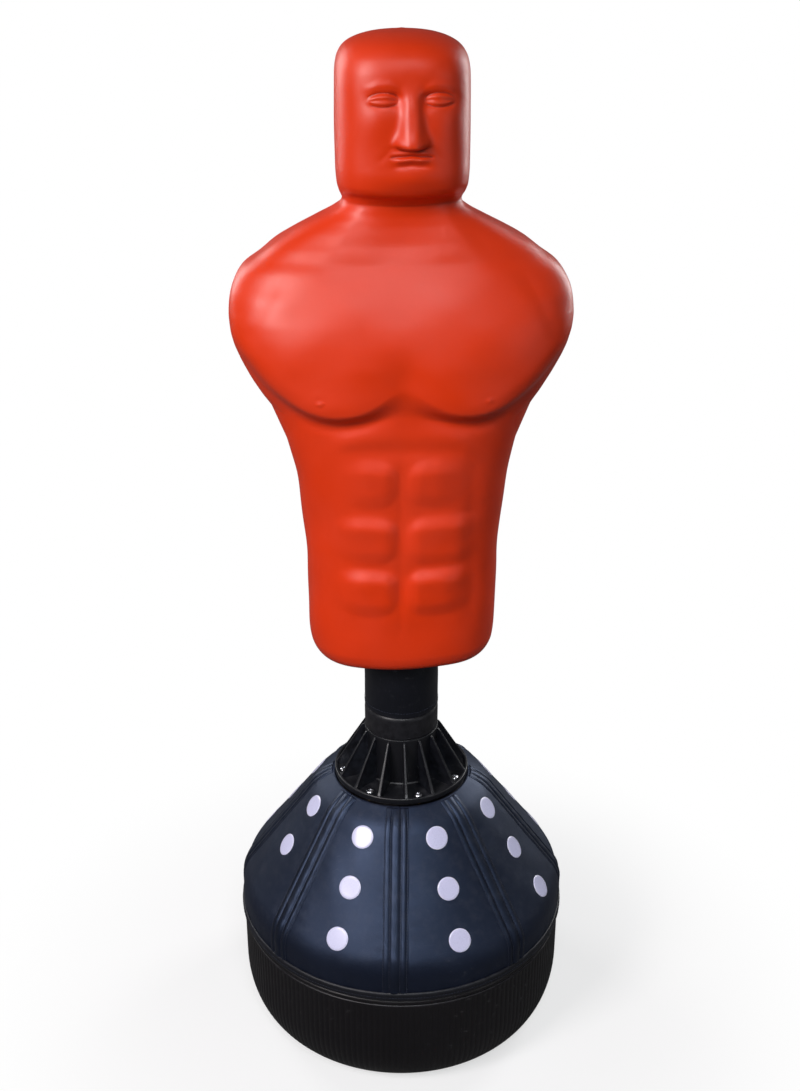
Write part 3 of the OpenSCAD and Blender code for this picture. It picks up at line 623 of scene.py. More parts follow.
def makeGrainGroup():
    # pebbled leather: warped cells with fine pores between
    tree, given, out = newTree("pebbleGrain", "ShaderNodeTree", [("Scale", "Float", 700.0), ("Pore", "Float", 0.35)],
                               [("Height", "Float"), ("Valley", "Float")])
    coords = objectCoords(tree)
    bend = addNode(tree, "ShaderNodeTexNoise", {"Scale": 240.0, "Vector": coords})
    shift = addNode(tree, "ShaderNodeVectorMath", {
        0: bend.outputs["Color"], 1: (0.0012, 0.0012, 0.0012), 2: coords}, operation="MULTIPLY_ADD")
    cells = addNode(tree, "ShaderNodeTexVoronoi", {"Vector": shift.outputs[0], "Scale": given["Scale"]},
                    feature="DISTANCE_TO_EDGE").outputs["Distance"]
    pores = noiseNode(tree, coords, mathNode(tree, "MULTIPLY", given["Scale"], 2.6), 2.0)
    feed(tree, out["Height"], mathNode(tree, "ADD", rangeNode(tree, cells, 0.0, 0.32),
                                       mathNode(tree, "MULTIPLY", pores, given["Pore"])))
    feed(tree, out["Valley"], rangeNode(tree, cells, 0.14, 0.0))
    return tree


def makeToneGroup():
    # slow drifts of tone over a surface, as light and dark of one colour
    tree, given, out = newTree("toneDrift", "ShaderNodeTree", [
        ("Color", "Color", (0.5, 0.5, 0.5, 1)), ("Scale", "Float", 6.0), ("Amount", "Float", 0.12)],
        [("Color", "Color"), ("Drift", "Float")])
    drift = noiseNode(tree, objectCoords(tree), given["Scale"], 4.0, 0.6, 0.4)
    swing = mathNode(tree, "MULTIPLY", mathNode(tree, "SUBTRACT", drift, 0.5), given["Amount"])
    tone = addNode(tree, "ShaderNodeHueSaturation", {
        "Value": mathNode(tree, "ADD", mathNode(tree, "MULTIPLY", swing, 2.0), 1.0),
        "Saturation": mathNode(tree, "ADD", mathNode(tree, "MULTIPLY", swing, -0.5), 1.0),
        "Color": given["Color"]})
    feed(tree, out["Color"], tone.outputs[0])
    feed(tree, out["Drift"], drift)
    return tree


def makeEdgeGroup():
    # rubbed edges, and painted shade that darkens concave corners and creases, from how sharply the surface bends
    tree, given, out = newTree("rubbedEdgesAndCreaseShade", "ShaderNodeTree", [("Reach", "Float", 0.06), ("Break", "Float", 90.0)],
                               [("Rubbed", "Float"), ("Corner", "Float")])
    bend = addNode(tree, "ShaderNodeNewGeometry").outputs["Pointiness"]
    patchy = noiseNode(tree, objectCoords(tree), given["Break"], 4.0, 0.65)
    high = mathNode(tree, "ADD", given["Reach"], 0.5)
    low = mathNode(tree, "SUBTRACT", 0.5, given["Reach"])
    feed(tree, out["Rubbed"], mathNode(tree, "MULTIPLY", rangeNode(tree, bend, 0.505, high),
                                       rangeNode(tree, patchy, 0.35, 0.62)))
    # painted shade: the more the surface bends inwards, the more of a darker colour goes in
    feed(tree, out["Corner"], rangeNode(tree, bend, 0.495, low))
    return tree


def makeDustGroup():
    # dust that settles on what faces up, thicker where a slow noise says
    tree, given, out = newTree("restingDust", "ShaderNodeTree", [("Scale", "Float", 40.0), ("Amount", "Float", 0.2)],
                               [("Dust", "Float")])
    normal = addNode(tree, "ShaderNodeNewGeometry").outputs["Normal"]
    up = rangeNode(tree, addNode(tree, "ShaderNodeSeparateXYZ", {0: normal}).outputs["Z"], 0.1, 0.95)
    spots = rangeNode(tree, noiseNode(tree, objectCoords(tree), given["Scale"], 6.0, 0.7), 0.42, 0.72)
    feed(tree, out["Dust"], mathNode(tree, "MULTIPLY", mathNode(tree, "MULTIPLY", up, spots), given["Amount"]))
    return tree


def makeScuffGroup():
    # long faint scratches, as a mask for roughness and colour
    tree, given, out = newTree("faintScuffs", "ShaderNodeTree", [("Scale", "Float", 26.0), ("Density", "Float", 0.5)],
                               [("Scuff", "Float")])
    coords = objectCoords(tree)
    stretch = addNode(tree, "ShaderNodeMapping", {
        "Vector": coords, "Rotation": (0.5, 0.35, 0.7), "Scale": (1.0, 9.0, 5.0)})
    lines = noiseNode(tree, stretch.outputs[0], given["Scale"], 5.0, 0.7, 0.6)
    where = rangeNode(tree, noiseNode(tree, coords, 5.0, 2.0), 0.45, 0.65)
    thin = rangeNode(tree, lines, 0.60, 0.70)
    feed(tree, out["Scuff"], mathNode(tree, "MULTIPLY", mathNode(tree, "MULTIPLY", thin, where), given["Density"]))
    return tree


grainGroup, toneGroup, edgeGroup = makeGrainGroup(), makeToneGroup(), makeEdgeGroup()
dustGroup, scuffGroup = makeDustGroup(), makeScuffGroup()


def useGroup(tree, group, **values):
    return addNode(tree, "ShaderNodeGroup", node_tree=group, feeds=values)


def makeFinish(name, s):
    # one material from its settings: tone, grain, scuffs, rubbed edges, painted shade in creases, dust
    finish = bpy.data.materials.new(name)
    finish.use_nodes = True
    tree = finish.node_tree
    shader = tree.nodes["Principled BSDF"]
    tone = useGroup(tree, toneGroup, Color=s["colour"], Scale=s.get("driftScale", 6.0),
                    Amount=s.get("drift", 0.1))
    colour = tone.outputs["Color"]
    edges = useGroup(tree, edgeGroup, Reach=s.get("edgeReach", 0.06), Break=s.get("edgeBreak", 90.0))
    if "rubbed" in s:
        amount = mathNode(tree, "MULTIPLY", edges.outputs["Rubbed"], s.get("rubbedAmount", 0.35))
        colour = mixColour(tree, amount, colour, s["rubbed"])
    # painted shade: a darker colour of the same hue mixed into concave corners and creases
    if "creaseShade" in s:
        amount = mathNode(tree, "MULTIPLY", edges.outputs["Corner"], s.get("creaseShadeAmount", 0.5))
        colour = mixColour(tree, amount, colour, s["creaseShade"])
    rough = rangeNode(tree, tone.outputs["Drift"], 0.3, 0.7, s["rough"] - s.get("roughSwing", 0.04),
                      s["rough"] + s.get("roughSwing", 0.04))
    height = None
    if "grain" in s:
        grain = useGroup(tree, grainGroup, Scale=s["grain"], Pore=s.get("pore", 0.35))
        colour = mixColour(tree, mathNode(tree, "MULTIPLY", grain.outputs["Valley"], s.get("valley", 0.35)),
                           colour, s.get("valleyColour", (0, 0, 0, 1)))
        height = grain.outputs["Height"]
    if "scuff" in s:
        scuffs = useGroup(tree, scuffGroup, Scale=s.get("scuffScale", 26.0), Density=s["scuff"])
        rough = mathNode(tree, "ADD", rough, mathNode(tree, "MULTIPLY", scuffs.outputs["Scuff"], 0.22))
        colour = mixColour(tree, mathNode(tree, "MULTIPLY", scuffs.outputs["Scuff"], 0.16), colour,
                           s.get("scuffColour", (0.6, 0.6, 0.62, 1)))
    if "dust" in s:
        dust = useGroup(tree, dustGroup, Scale=s.get("dustScale", 40.0), Amount=s["dust"]).outputs["Dust"]
        colour = mixColour(tree, dust, colour, s.get("dustColour", (0.16, 0.16, 0.17, 1)))
        rough = mathNode(tree, "ADD", rough, mathNode(tree, "MULTIPLY", dust, 0.3))
    tree.links.new(colour, shader.inputs["Base Color"])
    tree.links.new(rough, shader.inputs["Roughness"])
    if "fine" in s:
        fine = noiseNode(tree, objectCoords(tree), s["fine"], 3.0, 0.6)
        height = fine if height is None else mathNode(tree, "ADD", height, mathNode(tree, "MULTIPLY", fine, 0.5))
    if height is not None:
        bump = addNode(tree, "ShaderNodeBump", {
            "Strength": s.get("bump", 0.3), "Distance": s.get("bumpDepth", 0.0002), "Height": height})
        tree.links.new(bump.outputs[0], shader.inputs["Normal"])
    for label, value in s.get("shader", {}).items():
        shader.inputs[label].default_value = value
    return finish


# in each finish the darker colour given for concave corners is painted shade in creases and corners
finishes = {
    "torsoSkin": makeFinish("mouldedSkin", {
        "colour": srgb(230, 55, 3), "drift": 0.06, "driftScale": 5.0, "rough": 0.41, "roughSwing": 0.05,
        "rubbed": srgb(226, 96, 66), "rubbedAmount": 0.30, "edgeReach": 0.05, "edgeBreak": 60.0,
        "creaseShade": srgb(120, 18, 6), "creaseShadeAmount": 0.55, "scuff": 0.35, "scuffColour": srgb(228, 120, 96),
        "grain": 900.0, "pore": 0.8, "valley": 0.04, "valleyColour": srgb(120, 20, 8),
        "fine": 55.0, "bump": 0.22, "bumpDepth": 0.00025,
        "shader": {"Specular IOR Level": 0.52, "Coat Weight": 0.12, "Coat Roughness": 0.32}}),
    "coverLeather": makeFinish("navyLeatherette", {
        "colour": srgb(11, 14, 26), "drift": 0.08, "driftScale": 9.0, "rough": 0.50, "roughSwing": 0.05,
        "rubbed": srgb(44, 54, 82), "rubbedAmount": 0.25, "creaseShade": srgb(10, 12, 20), "creaseShadeAmount": 0.6,
        "grain": 620.0, "pore": 0.4, "valley": 0.30, "valleyColour": srgb(10, 13, 24), "bump": 0.38,
        "bumpDepth": 0.00022, "scuff": 0.25, "dust": 0.10, "dustScale": 60.0,
        "shader": {"Specular IOR Level": 0.82, "Specular Tint": (0.44, 0.60, 1.0, 1)}}),
    "seamLeather": makeFinish("pipingLeatherette", {
        "colour": srgb(11, 14, 24), "drift": 0.10, "driftScale": 14.0, "rough": 0.42, "roughSwing": 0.05,
        "rubbed": srgb(54, 64, 92), "rubbedAmount": 0.35, "creaseShade": srgb(8, 10, 16), "creaseShadeAmount": 0.7,
        "grain": 760.0, "valley": 0.28, "valleyColour": srgb(9, 11, 20), "bump": 0.32,
        "bumpDepth": 0.00018, "dust": 0.10,
        "shader": {"Specular IOR Level": 0.75, "Specular Tint": (0.44, 0.60, 1.0, 1)}}),
    "hemBinding": makeFinish("hemTape", {
        "colour": srgb(13, 15, 23), "drift": 0.10, "driftScale": 16.0, "rough": 0.5,
        "rubbed": srgb(36, 40, 54), "rubbedAmount": 0.25, "creaseShade": srgb(8, 9, 14), "creaseShadeAmount": 0.7,
        "grain": 900.0, "valley": 0.25, "bump": 0.3, "bumpDepth": 0.00016, "dust": 0.12}),
    "thread": makeFinish("bondedThread", {
        "colour": srgb(32, 38, 56), "drift": 0.12, "driftScale": 60.0, "rough": 0.55, "fine": 2400.0,
        "bump": 0.5, "bumpDepth": 0.0001}),
    "reflectiveFilm": makeFinish("reflectiveFilm", {
        "colour": srgb(212, 212, 242), "drift": 0.05, "driftScale": 30.0, "rough": 0.34,
        "rubbed": srgb(250, 250, 255), "rubbedAmount": 0.4, "creaseShade": srgb(150, 148, 178),
        "creaseShadeAmount": 0.6, "grain": 420.0, "pore": 0.1, "valley": 0.32,
        "valleyColour": srgb(176, 174, 208), "bump": 0.15, "bumpDepth": 0.0001, "scuff": 0.3,
        "shader": {"Coat Weight": 0.3, "Coat Roughness": 0.15}}),
    "tankPlastic": makeFinish("blowMouldedTank", {
        "colour": srgb(11, 9, 13), "drift": 0.14, "driftScale": 7.0, "rough": 0.40, "roughSwing": 0.07,
        "rubbed": srgb(48, 46, 52), "rubbedAmount": 0.35, "creaseShade": srgb(9, 7, 8), "creaseShadeAmount": 0.7,
        "fine": 420.0, "bump": 0.25, "bumpDepth": 0.00025, "scuff": 0.5, "dust": 0.12}),
    "collarPlastic": makeFinish("mouldedCollar", {
        "colour": srgb(14, 15, 20), "drift": 0.12, "driftScale": 12.0, "rough": 0.38, "roughSwing": 0.06,
        "rubbed": srgb(52, 56, 66), "rubbedAmount": 0.40, "edgeReach": 0.09, "creaseShade": srgb(6, 6, 8),
        "creaseShadeAmount": 0.7, "fine": 620.0, "bump": 0.22, "bumpDepth": 0.0002, "scuff": 0.35, "dust": 0.14}),
    "bootRubber": makeFinish("bootRubber", {
        "colour": srgb(15, 15, 20), "drift": 0.12, "driftScale": 20.0, "rough": 0.46, "fine": 900.0,
        "bump": 0.25, "bumpDepth": 0.0002, "rubbed": srgb(80, 80, 86), "rubbedAmount": 0.3, "dust": 0.08}),
    "sleeveLeather": makeFinish("columnLeatherette", {
        "colour": srgb(15, 16, 22), "drift": 0.10, "driftScale": 12.0, "rough": 0.42,
        "rubbed": srgb(80, 82, 92), "rubbedAmount": 0.3, "creaseShade": srgb(7, 7, 9), "creaseShadeAmount": 0.6,
        "grain": 680.0, "valley": 0.28, "bump": 0.34, "bumpDepth": 0.0002, "scuff": 0.3,
        "shader": {"Specular IOR Level": 0.45, "Specular Tint": (0.8, 0.86, 1.0, 1)}}),
    "screwChrome": makeFinish("screwChrome", {
        "colour": srgb(232, 234, 240), "drift": 0.05, "driftScale": 90.0, "rough": 0.26,
        "creaseShade": srgb(60, 60, 64), "creaseShadeAmount": 0.6, "scuff": 0.5, "scuffScale": 160.0,
        "shader": {"Metallic": 1.0}}),
    "zincSteel": makeFinish("zincPlate", {
        "colour": srgb(166, 168, 172), "drift": 0.12, "driftScale": 50.0, "rough": 0.34, "fine": 500.0,
        "bump": 0.2, "scuff": 0.6, "shader": {"Metallic": 1.0}}),
    "springSteel": makeFinish("springSteel", {
        "colour": srgb(92, 94, 100), "drift": 0.18, "driftScale": 60.0, "rough": 0.36, "fine": 700.0,
        "bump": 0.3, "rubbed": srgb(180, 182, 188), "rubbedAmount": 0.4, "shader": {"Metallic": 1.0}}),
    "postSteel": makeFinish("drawnPost", {
        "colour": srgb(128, 130, 135), "drift": 0.12, "driftScale": 20.0, "rough": 0.3, "fine": 800.0,
        "bump": 0.15, "scuff": 0.8, "shader": {"Metallic": 1.0}}),
    "insertBrass": makeFinish("insertBrass", {
        "colour": srgb(196, 158, 82), "drift": 0.12, "driftScale": 60.0, "rough": 0.3, "fine": 600.0,
        "bump": 0.2, "shader": {"Metallic": 1.0}}),
    "drySand": makeFinish("drySand", {
        "colour": srgb(196, 172, 128), "drift": 0.25, "driftScale": 40.0, "rough": 0.95, "fine": 1400.0,
        "bump": 0.9, "bumpDepth": 0.0006}),
    "cupRubber": makeFinish("cupRubber", {
        "colour": srgb(34, 34, 37), "drift": 0.15, "driftScale": 30.0, "rough": 0.5, "fine": 700.0,
        "bump": 0.3, "rubbed": srgb(90, 90, 92), "rubbedAmount": 0.3, "dust": 0.15}),
    "sealRubber": makeFinish("sealRubber", {
        "colour": srgb(52, 52, 55), "drift": 0.12, "driftScale": 40.0, "rough": 0.6, "fine": 900.0,
        "bump": 0.3}),
    "innerPlastic": makeFinish("innerPlastic", {
        "colour": srgb(36, 36, 40), "drift": 0.12, "driftScale": 18.0, "rough": 0.44, "fine": 500.0,
        "bump": 0.25, "rubbed": srgb(96, 96, 100), "rubbedAmount": 0.35, "scuff": 0.4}),
    "bushNylon": makeFinish("bushNylon", {
        "colour": srgb(226, 222, 208), "drift": 0.08, "driftScale": 30.0, "rough": 0.4, "fine": 600.0,
        "bump": 0.2, "scuff": 0.4}),
}
print("finishes made:", len(finishes))


def dress(piece, finish, body, slotName, *nodes):
    # gives a piece its finish and body, and hides the CAD nodes it stands for
    piece.data.materials.clear()
    piece.data.materials.append(finishes[finish])
    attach(piece, body)
    if nodes:
        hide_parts(*nodes)
    return piece


torsoSkin.data.materials.append(finishes["torsoSkin"])


# base cover: eight padded panels sewn edge to edge over the cone

base = {
    # radius of the cover's wall and of the band below it, and the rounding from wall to cone
    "tank": 0.2817, "band": 0.284, "bandTop": 0.204, "foot": 0.010, "edgeIn": 0.045, "edgeRise": 0.090,
    "shoulderR": 0.060, "slope": 36.75, "coneEdge": (0.27494, 0.27234),
    "knee": (0.146, 0.445), "deck": (0.1155, 0.4652), "firstSeam": -5.5, "panels": 8,
    "coneMiddle": (0.21047, 0.35867),
}


def coverCurve():
    # finely sampled line from the hem up to the collar, with its outward normals
    b = base
    angles = np.radians(np.linspace(0, b["slope"], 14))
    tilt = math.radians(b["slope"])
    midR = b["tank"] - b["shoulderR"]
    # the rounding touches both the wall and the cone, so its centre lies where the two offsets cross
    reach = b["coneEdge"][0] * math.cos(tilt) + b["coneEdge"][1] * math.sin(tilt) - b["shoulderR"]
    midZ = (reach - midR * math.cos(tilt)) / math.sin(tilt)
    line = [(b["tank"], b["bandTop"])]
    line += list(zip(midR + b["shoulderR"] * np.cos(angles), midZ + b["shoulderR"] * np.sin(angles)))
    line += [b["knee"], b["deck"]]
    line = np.array(rounded(line, 0.014, 6))
    s = np.concatenate([[0], np.cumsum(np.hypot(*np.diff(line, axis=0).T))])
    fine = np.linspace(0, s[-1], 900)
    r, z = np.interp(fine, s, line[:, 0]), np.interp(fine, s, line[:, 1])
    kernel = np.ones(21) / 21
    dr = np.convolve(np.pad(np.gradient(r), 10, mode="edge"), kernel, "valid")
    dz = np.convolve(np.pad(np.gradient(z), 10, mode="edge"), kernel, "valid")
    long = np.hypot(dr, dz)
    return fine, r, z, dz / long, -dr / long


coverS, coverR, coverZ, coverNr, coverNz = coverCurve()
coverLength = coverS[-1]


def onCover(s, bearings, off=0.0):
    # point of the cover line at s (scalar or array), turned to a bearing in degrees, off the surface
    pick = lambda table: np.interp(s, coverS, table)
    r, z = pick(coverR) + off * pick(coverNr), pick(coverZ) + off * pick(coverNz)
    b = np.radians(bearings)
    return np.stack([r * np.sin(b), -r * np.cos(b), z * np.ones_like(b)], -1)


def coverNormal(s, bearings):
    nr, nz = np.interp(s, coverS, coverNr), np.interp(s, coverS, coverNz)
    b = np.radians(bearings)
    return np.stack([nr * np.sin(b), -nr * np.cos(b), nz * np.ones_like(b)], -1)


def alongCone(point):
    # how far along the cover line a (radius, height) lies
    return float(coverS[np.argmin(np.hypot(coverR - point[0], coverZ - point[1]))])


panelSettings = {
    "across": 34, "rows": 60, "off": 0.0018, "thickness": 0.0028, "puff": 0.0010, "fill": 0.35,
    "pucker": 0.00018, "puckerPitch": 0.021, "puckerFrom": 0.026, "hemWave": 0.0006, "slowWave": 0.0005,
    "fillerPanel": 5, "fillerHole": 0.027, "holeDepth": 0.05, "seed": 41,
    "cloth": {"pressure": 5.0, "frames": 18, "cap": 0.0046, "stretch": 60.0, "bend": 2.0},
}


def inflate(piece, pinned, s):
    # a short cloth run under light pressure; how far a point may move is capped
    start = np.array([v.co for v in piece.data.vertices])
    held = piece.vertex_groups.new(name="held")
    held.add([int(v) for v in pinned], 1.0, "REPLACE")
    cloth = piece.modifiers.new("cloth", "CLOTH")
    cloth.settings.vertex_group_mass = "held"
    cloth.settings.quality = 5
    cloth.settings.mass = 0.25
    cloth.settings.tension_stiffness = cloth.settings.compression_stiffness = s["stretch"]
    cloth.settings.shear_stiffness = s["stretch"] * 0.5
    cloth.settings.bending_stiffness = s["bend"]
    cloth.settings.use_pressure = True
    cloth.settings.uniform_pressure_force = s["pressure"]
    cloth.settings.effector_weights.gravity = 0.0
    cloth.collision_settings.use_collision = False
    cloth.point_cache.frame_start, cloth.point_cache.frame_end = 1, s["frames"]
    for frameNumber in range(1, s["frames"] + 1):
        scene.frame_set(frameNumber)
    graph = bpy.context.evaluated_depsgraph_get()
    run = piece.evaluated_get(graph)
    end = np.array([v.co for v in run.data.vertices])
    piece.modifiers.remove(cloth)
    piece.vertex_groups.clear()
    scene.frame_set(1)
    move = end - start
    far = np.linalg.norm(move, axis=1, keepdims=True)
    far[far < 1e-9] = 1e-9
    move *= s["cap"] * np.tanh(far / s["cap"]) / far
    for v, point in zip(piece.data.vertices, start + move):
        v.co = point
    largest = float(np.linalg.norm(move, axis=1).max()) * 1000
    print(piece.name, "inflated, largest move", round(largest, 2), "mm")


def makePanels(s):
    rows, across = s["rows"], s["across"]
    cols = across * base["panels"]
    line = np.linspace(0.0, coverLength, rows)
    u = np.arange(cols) / across
    bearings = base["firstSeam"] + u * 360 / base["panels"]
    share = (u % 1.0)
    puff = s["puff"] * (1 - (2 * share - 1) ** 4)
    grid = np.empty((rows, cols, 3))
    for i, at in enumerate(line):
        ends = step(0.0, 0.03, at) * (1 - step(coverLength - 0.045, coverLength - 0.01, at))
        off = s["off"] + puff * ends
        grid[i] = onCover(at, bearings, 0.0) + coverNormal(at, bearings) * off[:, None]
    cloth = meshObject("coverCloth", grid.reshape(-1, 3), gridFaces(rows, cols).tolist())
    seam = [j for j in range(cols) if j % across in (0, 1, across - 1)]
    pinned = [i * cols + j for i in range(rows) for j in seam]
    pinned += [i * cols + j for i in (0, 1, rows - 2, rows - 1) for j in range(cols)]
    inflate(cloth, sorted(set(pinned)), s["cloth"])
    grid = np.array([v.co for v in cloth.data.vertices]).reshape(rows, cols, 3)
    bpy.data.objects.remove(cloth)
    # small puckers where the cloth is pulled into the seams and the hem, and slow ripples
    away = np.minimum(share, 1 - share)[None, :]
    reach = np.interp(line, coverS, coverR)[:, None] * 2 * np.pi / base["panels"] * away
    rng = np.random.default_rng(s["seed"])
    phase = rng.uniform(0, 6.28, base["panels"] * 2)
    side = (np.floor(u) * 2 + (share > 0.5)).astype(int)
    ripple = np.sin(line[:, None] * 2 * np.pi / s["puckerPitch"] + phase[side][None, :]
                    + 1.7 * np.sin(line[:, None] * 31 + side[None, :]))
    strength = step(0.0, 0.03, line) * (1 - step(coverLength - 0.05, coverLength - 0.02, line))
    puckers = s["pucker"] * ripple * bell(reach, s["puckerFrom"], 0.012) * strength[:, None]
    sway = np.sin(bearings * 0.9 + 2.0 * np.sin(bearings * 0.21))[None, :]
    hem = s["hemWave"] * sway * bell(line, 0.016, 0.016)[:, None]
    slow = s["slowWave"] * np.sin(line[:, None] * 52 + 1.3 * u[None, :] * 5.1) * np.sin(u[None, :] * 9.7 + 0.6)
    normals = gridNormals(grid)
    grid += normals * (puckers + hem + slow * strength[:, None])[..., None]
    return grid


def fillerFrame():
    # place and turn of the filler neck, which leaves the cone squarely at the back
    b = math.radians(base["firstSeam"] + (panelSettings["fillerPanel"] - 0.5) * 360 / base["panels"])
    slope = math.radians(base["slope"])
    out = Vector((math.sin(b) * math.cos(slope), -math.cos(b) * math.cos(slope), math.sin(slope)))
    down = Vector((math.sin(b) * math.sin(slope), -math.cos(b) * math.sin(slope), -math.cos(slope)))
    place = bearingPoint(base["coneMiddle"][0], math.degrees(b), base["coneMiddle"][1])
    turn = Matrix((down, out.cross(down), out)).transposed()
    return place, turn


fillerPlace, fillerTurn = fillerFrame()


def splitPanels(grid, s):
    rows, cols = grid.shape[:2]
    for p in range(base["panels"]):
        pick = [(p * s["across"] + j) % cols for j in range(s["across"] + 1)]
        part = grid[:, pick].copy()
        points = part.reshape(-1, 3)
        faces = gridFaces(rows, len(pick), closed=False)
        if p + 1 == s["fillerPanel"]:      # this one has the hole for the filler neck
            local = (points - np.array(fillerPlace)) @ np.array(fillerTurn)
            flat = np.hypot(local[:, 0], local[:, 1])
            inside = (flat < s["fillerHole"]) & (np.abs(local[:, 2]) < s["holeDepth"])
            keep = ~np.all(inside[faces], axis=1)
            faces = faces[keep]
            push = np.where(inside, s["fillerHole"] / np.maximum(flat, 1e-6), 1.0)
            local[:, :2] *= push[:, None]
            points = local @ np.array(fillerTurn).T + np.array(fillerPlace)
            used = np.unique(faces)
            order = -np.ones(len(points), int)
            order[used] = np.arange(len(used))
            points, faces = points[used], order[faces]
        panel = meshObject("coverPanel%d" % (p + 1), points, faces.tolist())
        skin = panel.modifiers.new("thickness", "SOLIDIFY")
        skin.thickness, skin.offset = s["thickness"], -1.0
        soft = panel.modifiers.new("soft", "SUBSURF")
        soft.levels = soft.render_levels = 1
        dress(panel, "coverLeather", "base", "cover_leatherette", "cover_panel_%d" % (p + 1))


panelGrid = makePanels(panelSettings)
splitPanels(panelGrid, panelSettings)
coverTree = BVHTree.FromPolygons(panelGrid.reshape(-1, 3).tolist(),
                                 gridFaces(*panelGrid.shape[:2]).tolist())
print("cover panels made")


# seam strips: a broad welt and a narrow one side by side, with stitched grooves

seamSettings = {
    "low": 0.014, "steps": 120, "off": 0.0028, "endGap": 0.004, "fill": 0.6,
    # across the strip and height off the panel, millimetres
    "section": [(-26.4, -1.2), (-25.6, 0.0), (-24.6, 0.05), (-23.4, 0.6), (-21.6, 1.3), (-19.4, 1.5),
                (-17.2, 1.2), (-15.6, 0.45), (-14.6, 0.1), (-13.6, 0.5), (-11.6, 1.9), (-9.0, 2.6),
                (-6.0, 2.9), (-3.0, 2.6), (-0.4, 1.8), (1.4, 0.6), (2.7, 0.1), (4.0, 0.6), (5.8, 1.8),
                (8.2, 2.3), (10.6, 1.8), (12.4, 0.6), (13.6, 0.1), (14.6, 0.4), (15.6, 0.0), (16.4, -1.2)],
    "grooves": (-0.0246, -0.0146, 0.0027, 0.0136),
    "stitches": {"from": 0.016, "to": 0.022, "steps": 90, "spacing": 0.0050, "seed": 11},
}


def seamSqueeze(r):
    # the strip draws in a little towards the collar
    return 0.84 + 0.16 * float(step(0.115, 0.16, r))


def makeSeamStrip(s):
    section = np.array(s["section"]) * 0.001
    knots = np.arange(len(section))
    fine = np.linspace(0, len(section) - 1, 3 * len(section))
    across, rise = np.interp(fine, knots, section[:, 0]), np.interp(fine, knots, section[:, 1])
    rise = np.convolve(np.pad(rise, 1, mode="edge"), [0.25, 0.5, 0.25], "valid")
    top = coverLength - s["endGap"]
    line = np.linspace(s["low"], top, s["steps"])
    rows = []
    for at in line:
        r = np.interp(at, coverS, coverR)
        squeeze = seamSqueeze(r)
        bearings = np.degrees(across * squeeze / r)
        wave = 1 + 0.05 * np.sin(at * 900 + across * 500) + 0.06 * np.sin(at * 210 + across * 160)
        ends = 0.45 + 0.55 * float(step(0.0, 0.018, top - at))
        height = s["off"] + rise * np.where(rise > 0.0005, wave, 1.0) * ends
        over = np.concatenate([onCover(at, bearings[k:k + 1], height[k]) for k in range(len(across))])
        under = np.concatenate([onCover(at, bearings[k:k + 1], 0.0004) for k in (-1, len(across) // 2, 0)])
        rows.append(np.concatenate([over, under]))
    cols = len(rows[0])
    points = np.concatenate(rows)
    faces = gridFaces(len(rows), cols).tolist()
    faces += [list(range(cols))[::-1], [(len(rows) - 1) * cols + k for k in range(cols)]]
    return meshObject("seamStrip", points, faces)


seamStrips = copiesRound("seamStrips", makeSeamStrip(seamSettings), finishes["seamLeather"],
                         base["panels"], base["firstSeam"], 360 / base["panels"])
dress(seamStrips, "seamLeather", "base", "seam_leatherette", "seam_strips")


def makeStitch(length=0.0036, wide=0.0011, high=0.0008):
    # one stitch lying along X, humped in the middle
    t = np.linspace(0, 1, 7)
    ring = np.linspace(0, 2 * np.pi, 6, endpoint=False)
    rows = []
    for k in t:
        swell = math.sin(math.pi * min(max(k, 0.06), 0.94)) ** 0.45
        rows.append([((k - 0.5) * length, wide / 2 * swell * math.cos(a),
                      high * 0.25 + high / 2 * swell * math.sin(a) + high * 0.45 * (1 - (2 * k - 1) ** 2))
                     for a in ring])
    faces = [[q[0], q[3], q[2], q[1]] for q in gridFaces(len(rows), 6).tolist()]
    faces += [list(range(6)), [(len(rows) - 1) * 6 + k for k in range(6)][::-1]]
    return faceOutwards(meshObject("stitch", np.array(rows).reshape(-1, 3), faces))


def stitchRuns(name, runs, spacing, seed, body, slotName, **size):
    # runs is a list of (points, off-surface directions, closed)
    points, leans, edges = [], [], []
    for line, lean, closed in runs:
        first, n = len(points), len(line)
        points += [tuple(p) for p in line]
        leans += [tuple(v) for v in lean]
        edges += [(first + k, first + (k + 1) % n) for k in range(n if closed else n - 1)]
    data = bpy.data.meshes.new(name)
    data.from_pydata(points, edges, [])
    data.attributes.new("lean", "FLOAT_VECTOR", "POINT").data.foreach_set(
        "vector", np.array(leans, float).ravel())
    host = bpy.data.objects.new(name, data)
    scene.collection.objects.link(host)
    shape = makeStitch(**size)
    grow(host, stitchTree, {"Stitch": shape, "Spacing": spacing, "Wander": 0.07, "Seed": seed,
                            "Thread": finishes["thread"]})
    bpy.data.objects.remove(shape)
    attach(host, body)
    return host


def seamStitchRuns(s):
    # one run of stitches down every groove of every strip
    runs = []
    row = s["stitches"]
    line = np.linspace(row["from"], coverLength - row["to"], row["steps"])
    radii = np.interp(line, coverS, coverR)
    for k in range(base["panels"]):
        bearing = base["firstSeam"] + 360 / base["panels"] * k
        for u in s["grooves"]:
            turned = [bearing + math.degrees(u * seamSqueeze(r) / r) for r in radii]
            place = [onCover(at, np.array([b]), s["off"] + 0.0001)[0] for at, b in zip(line, turned)]
            lean = [coverNormal(at, np.array([b]))[0] for at, b in zip(line, turned)]
            runs.append((place, lean, False))
    return runs


stitchRuns("seamStitches", seamStitchRuns(seamSettings), seamSettings["stitches"]["spacing"],
           seamSettings["stitches"]["seed"], "base", "seam_leatherette")


# bound hem, with its own row of stitches

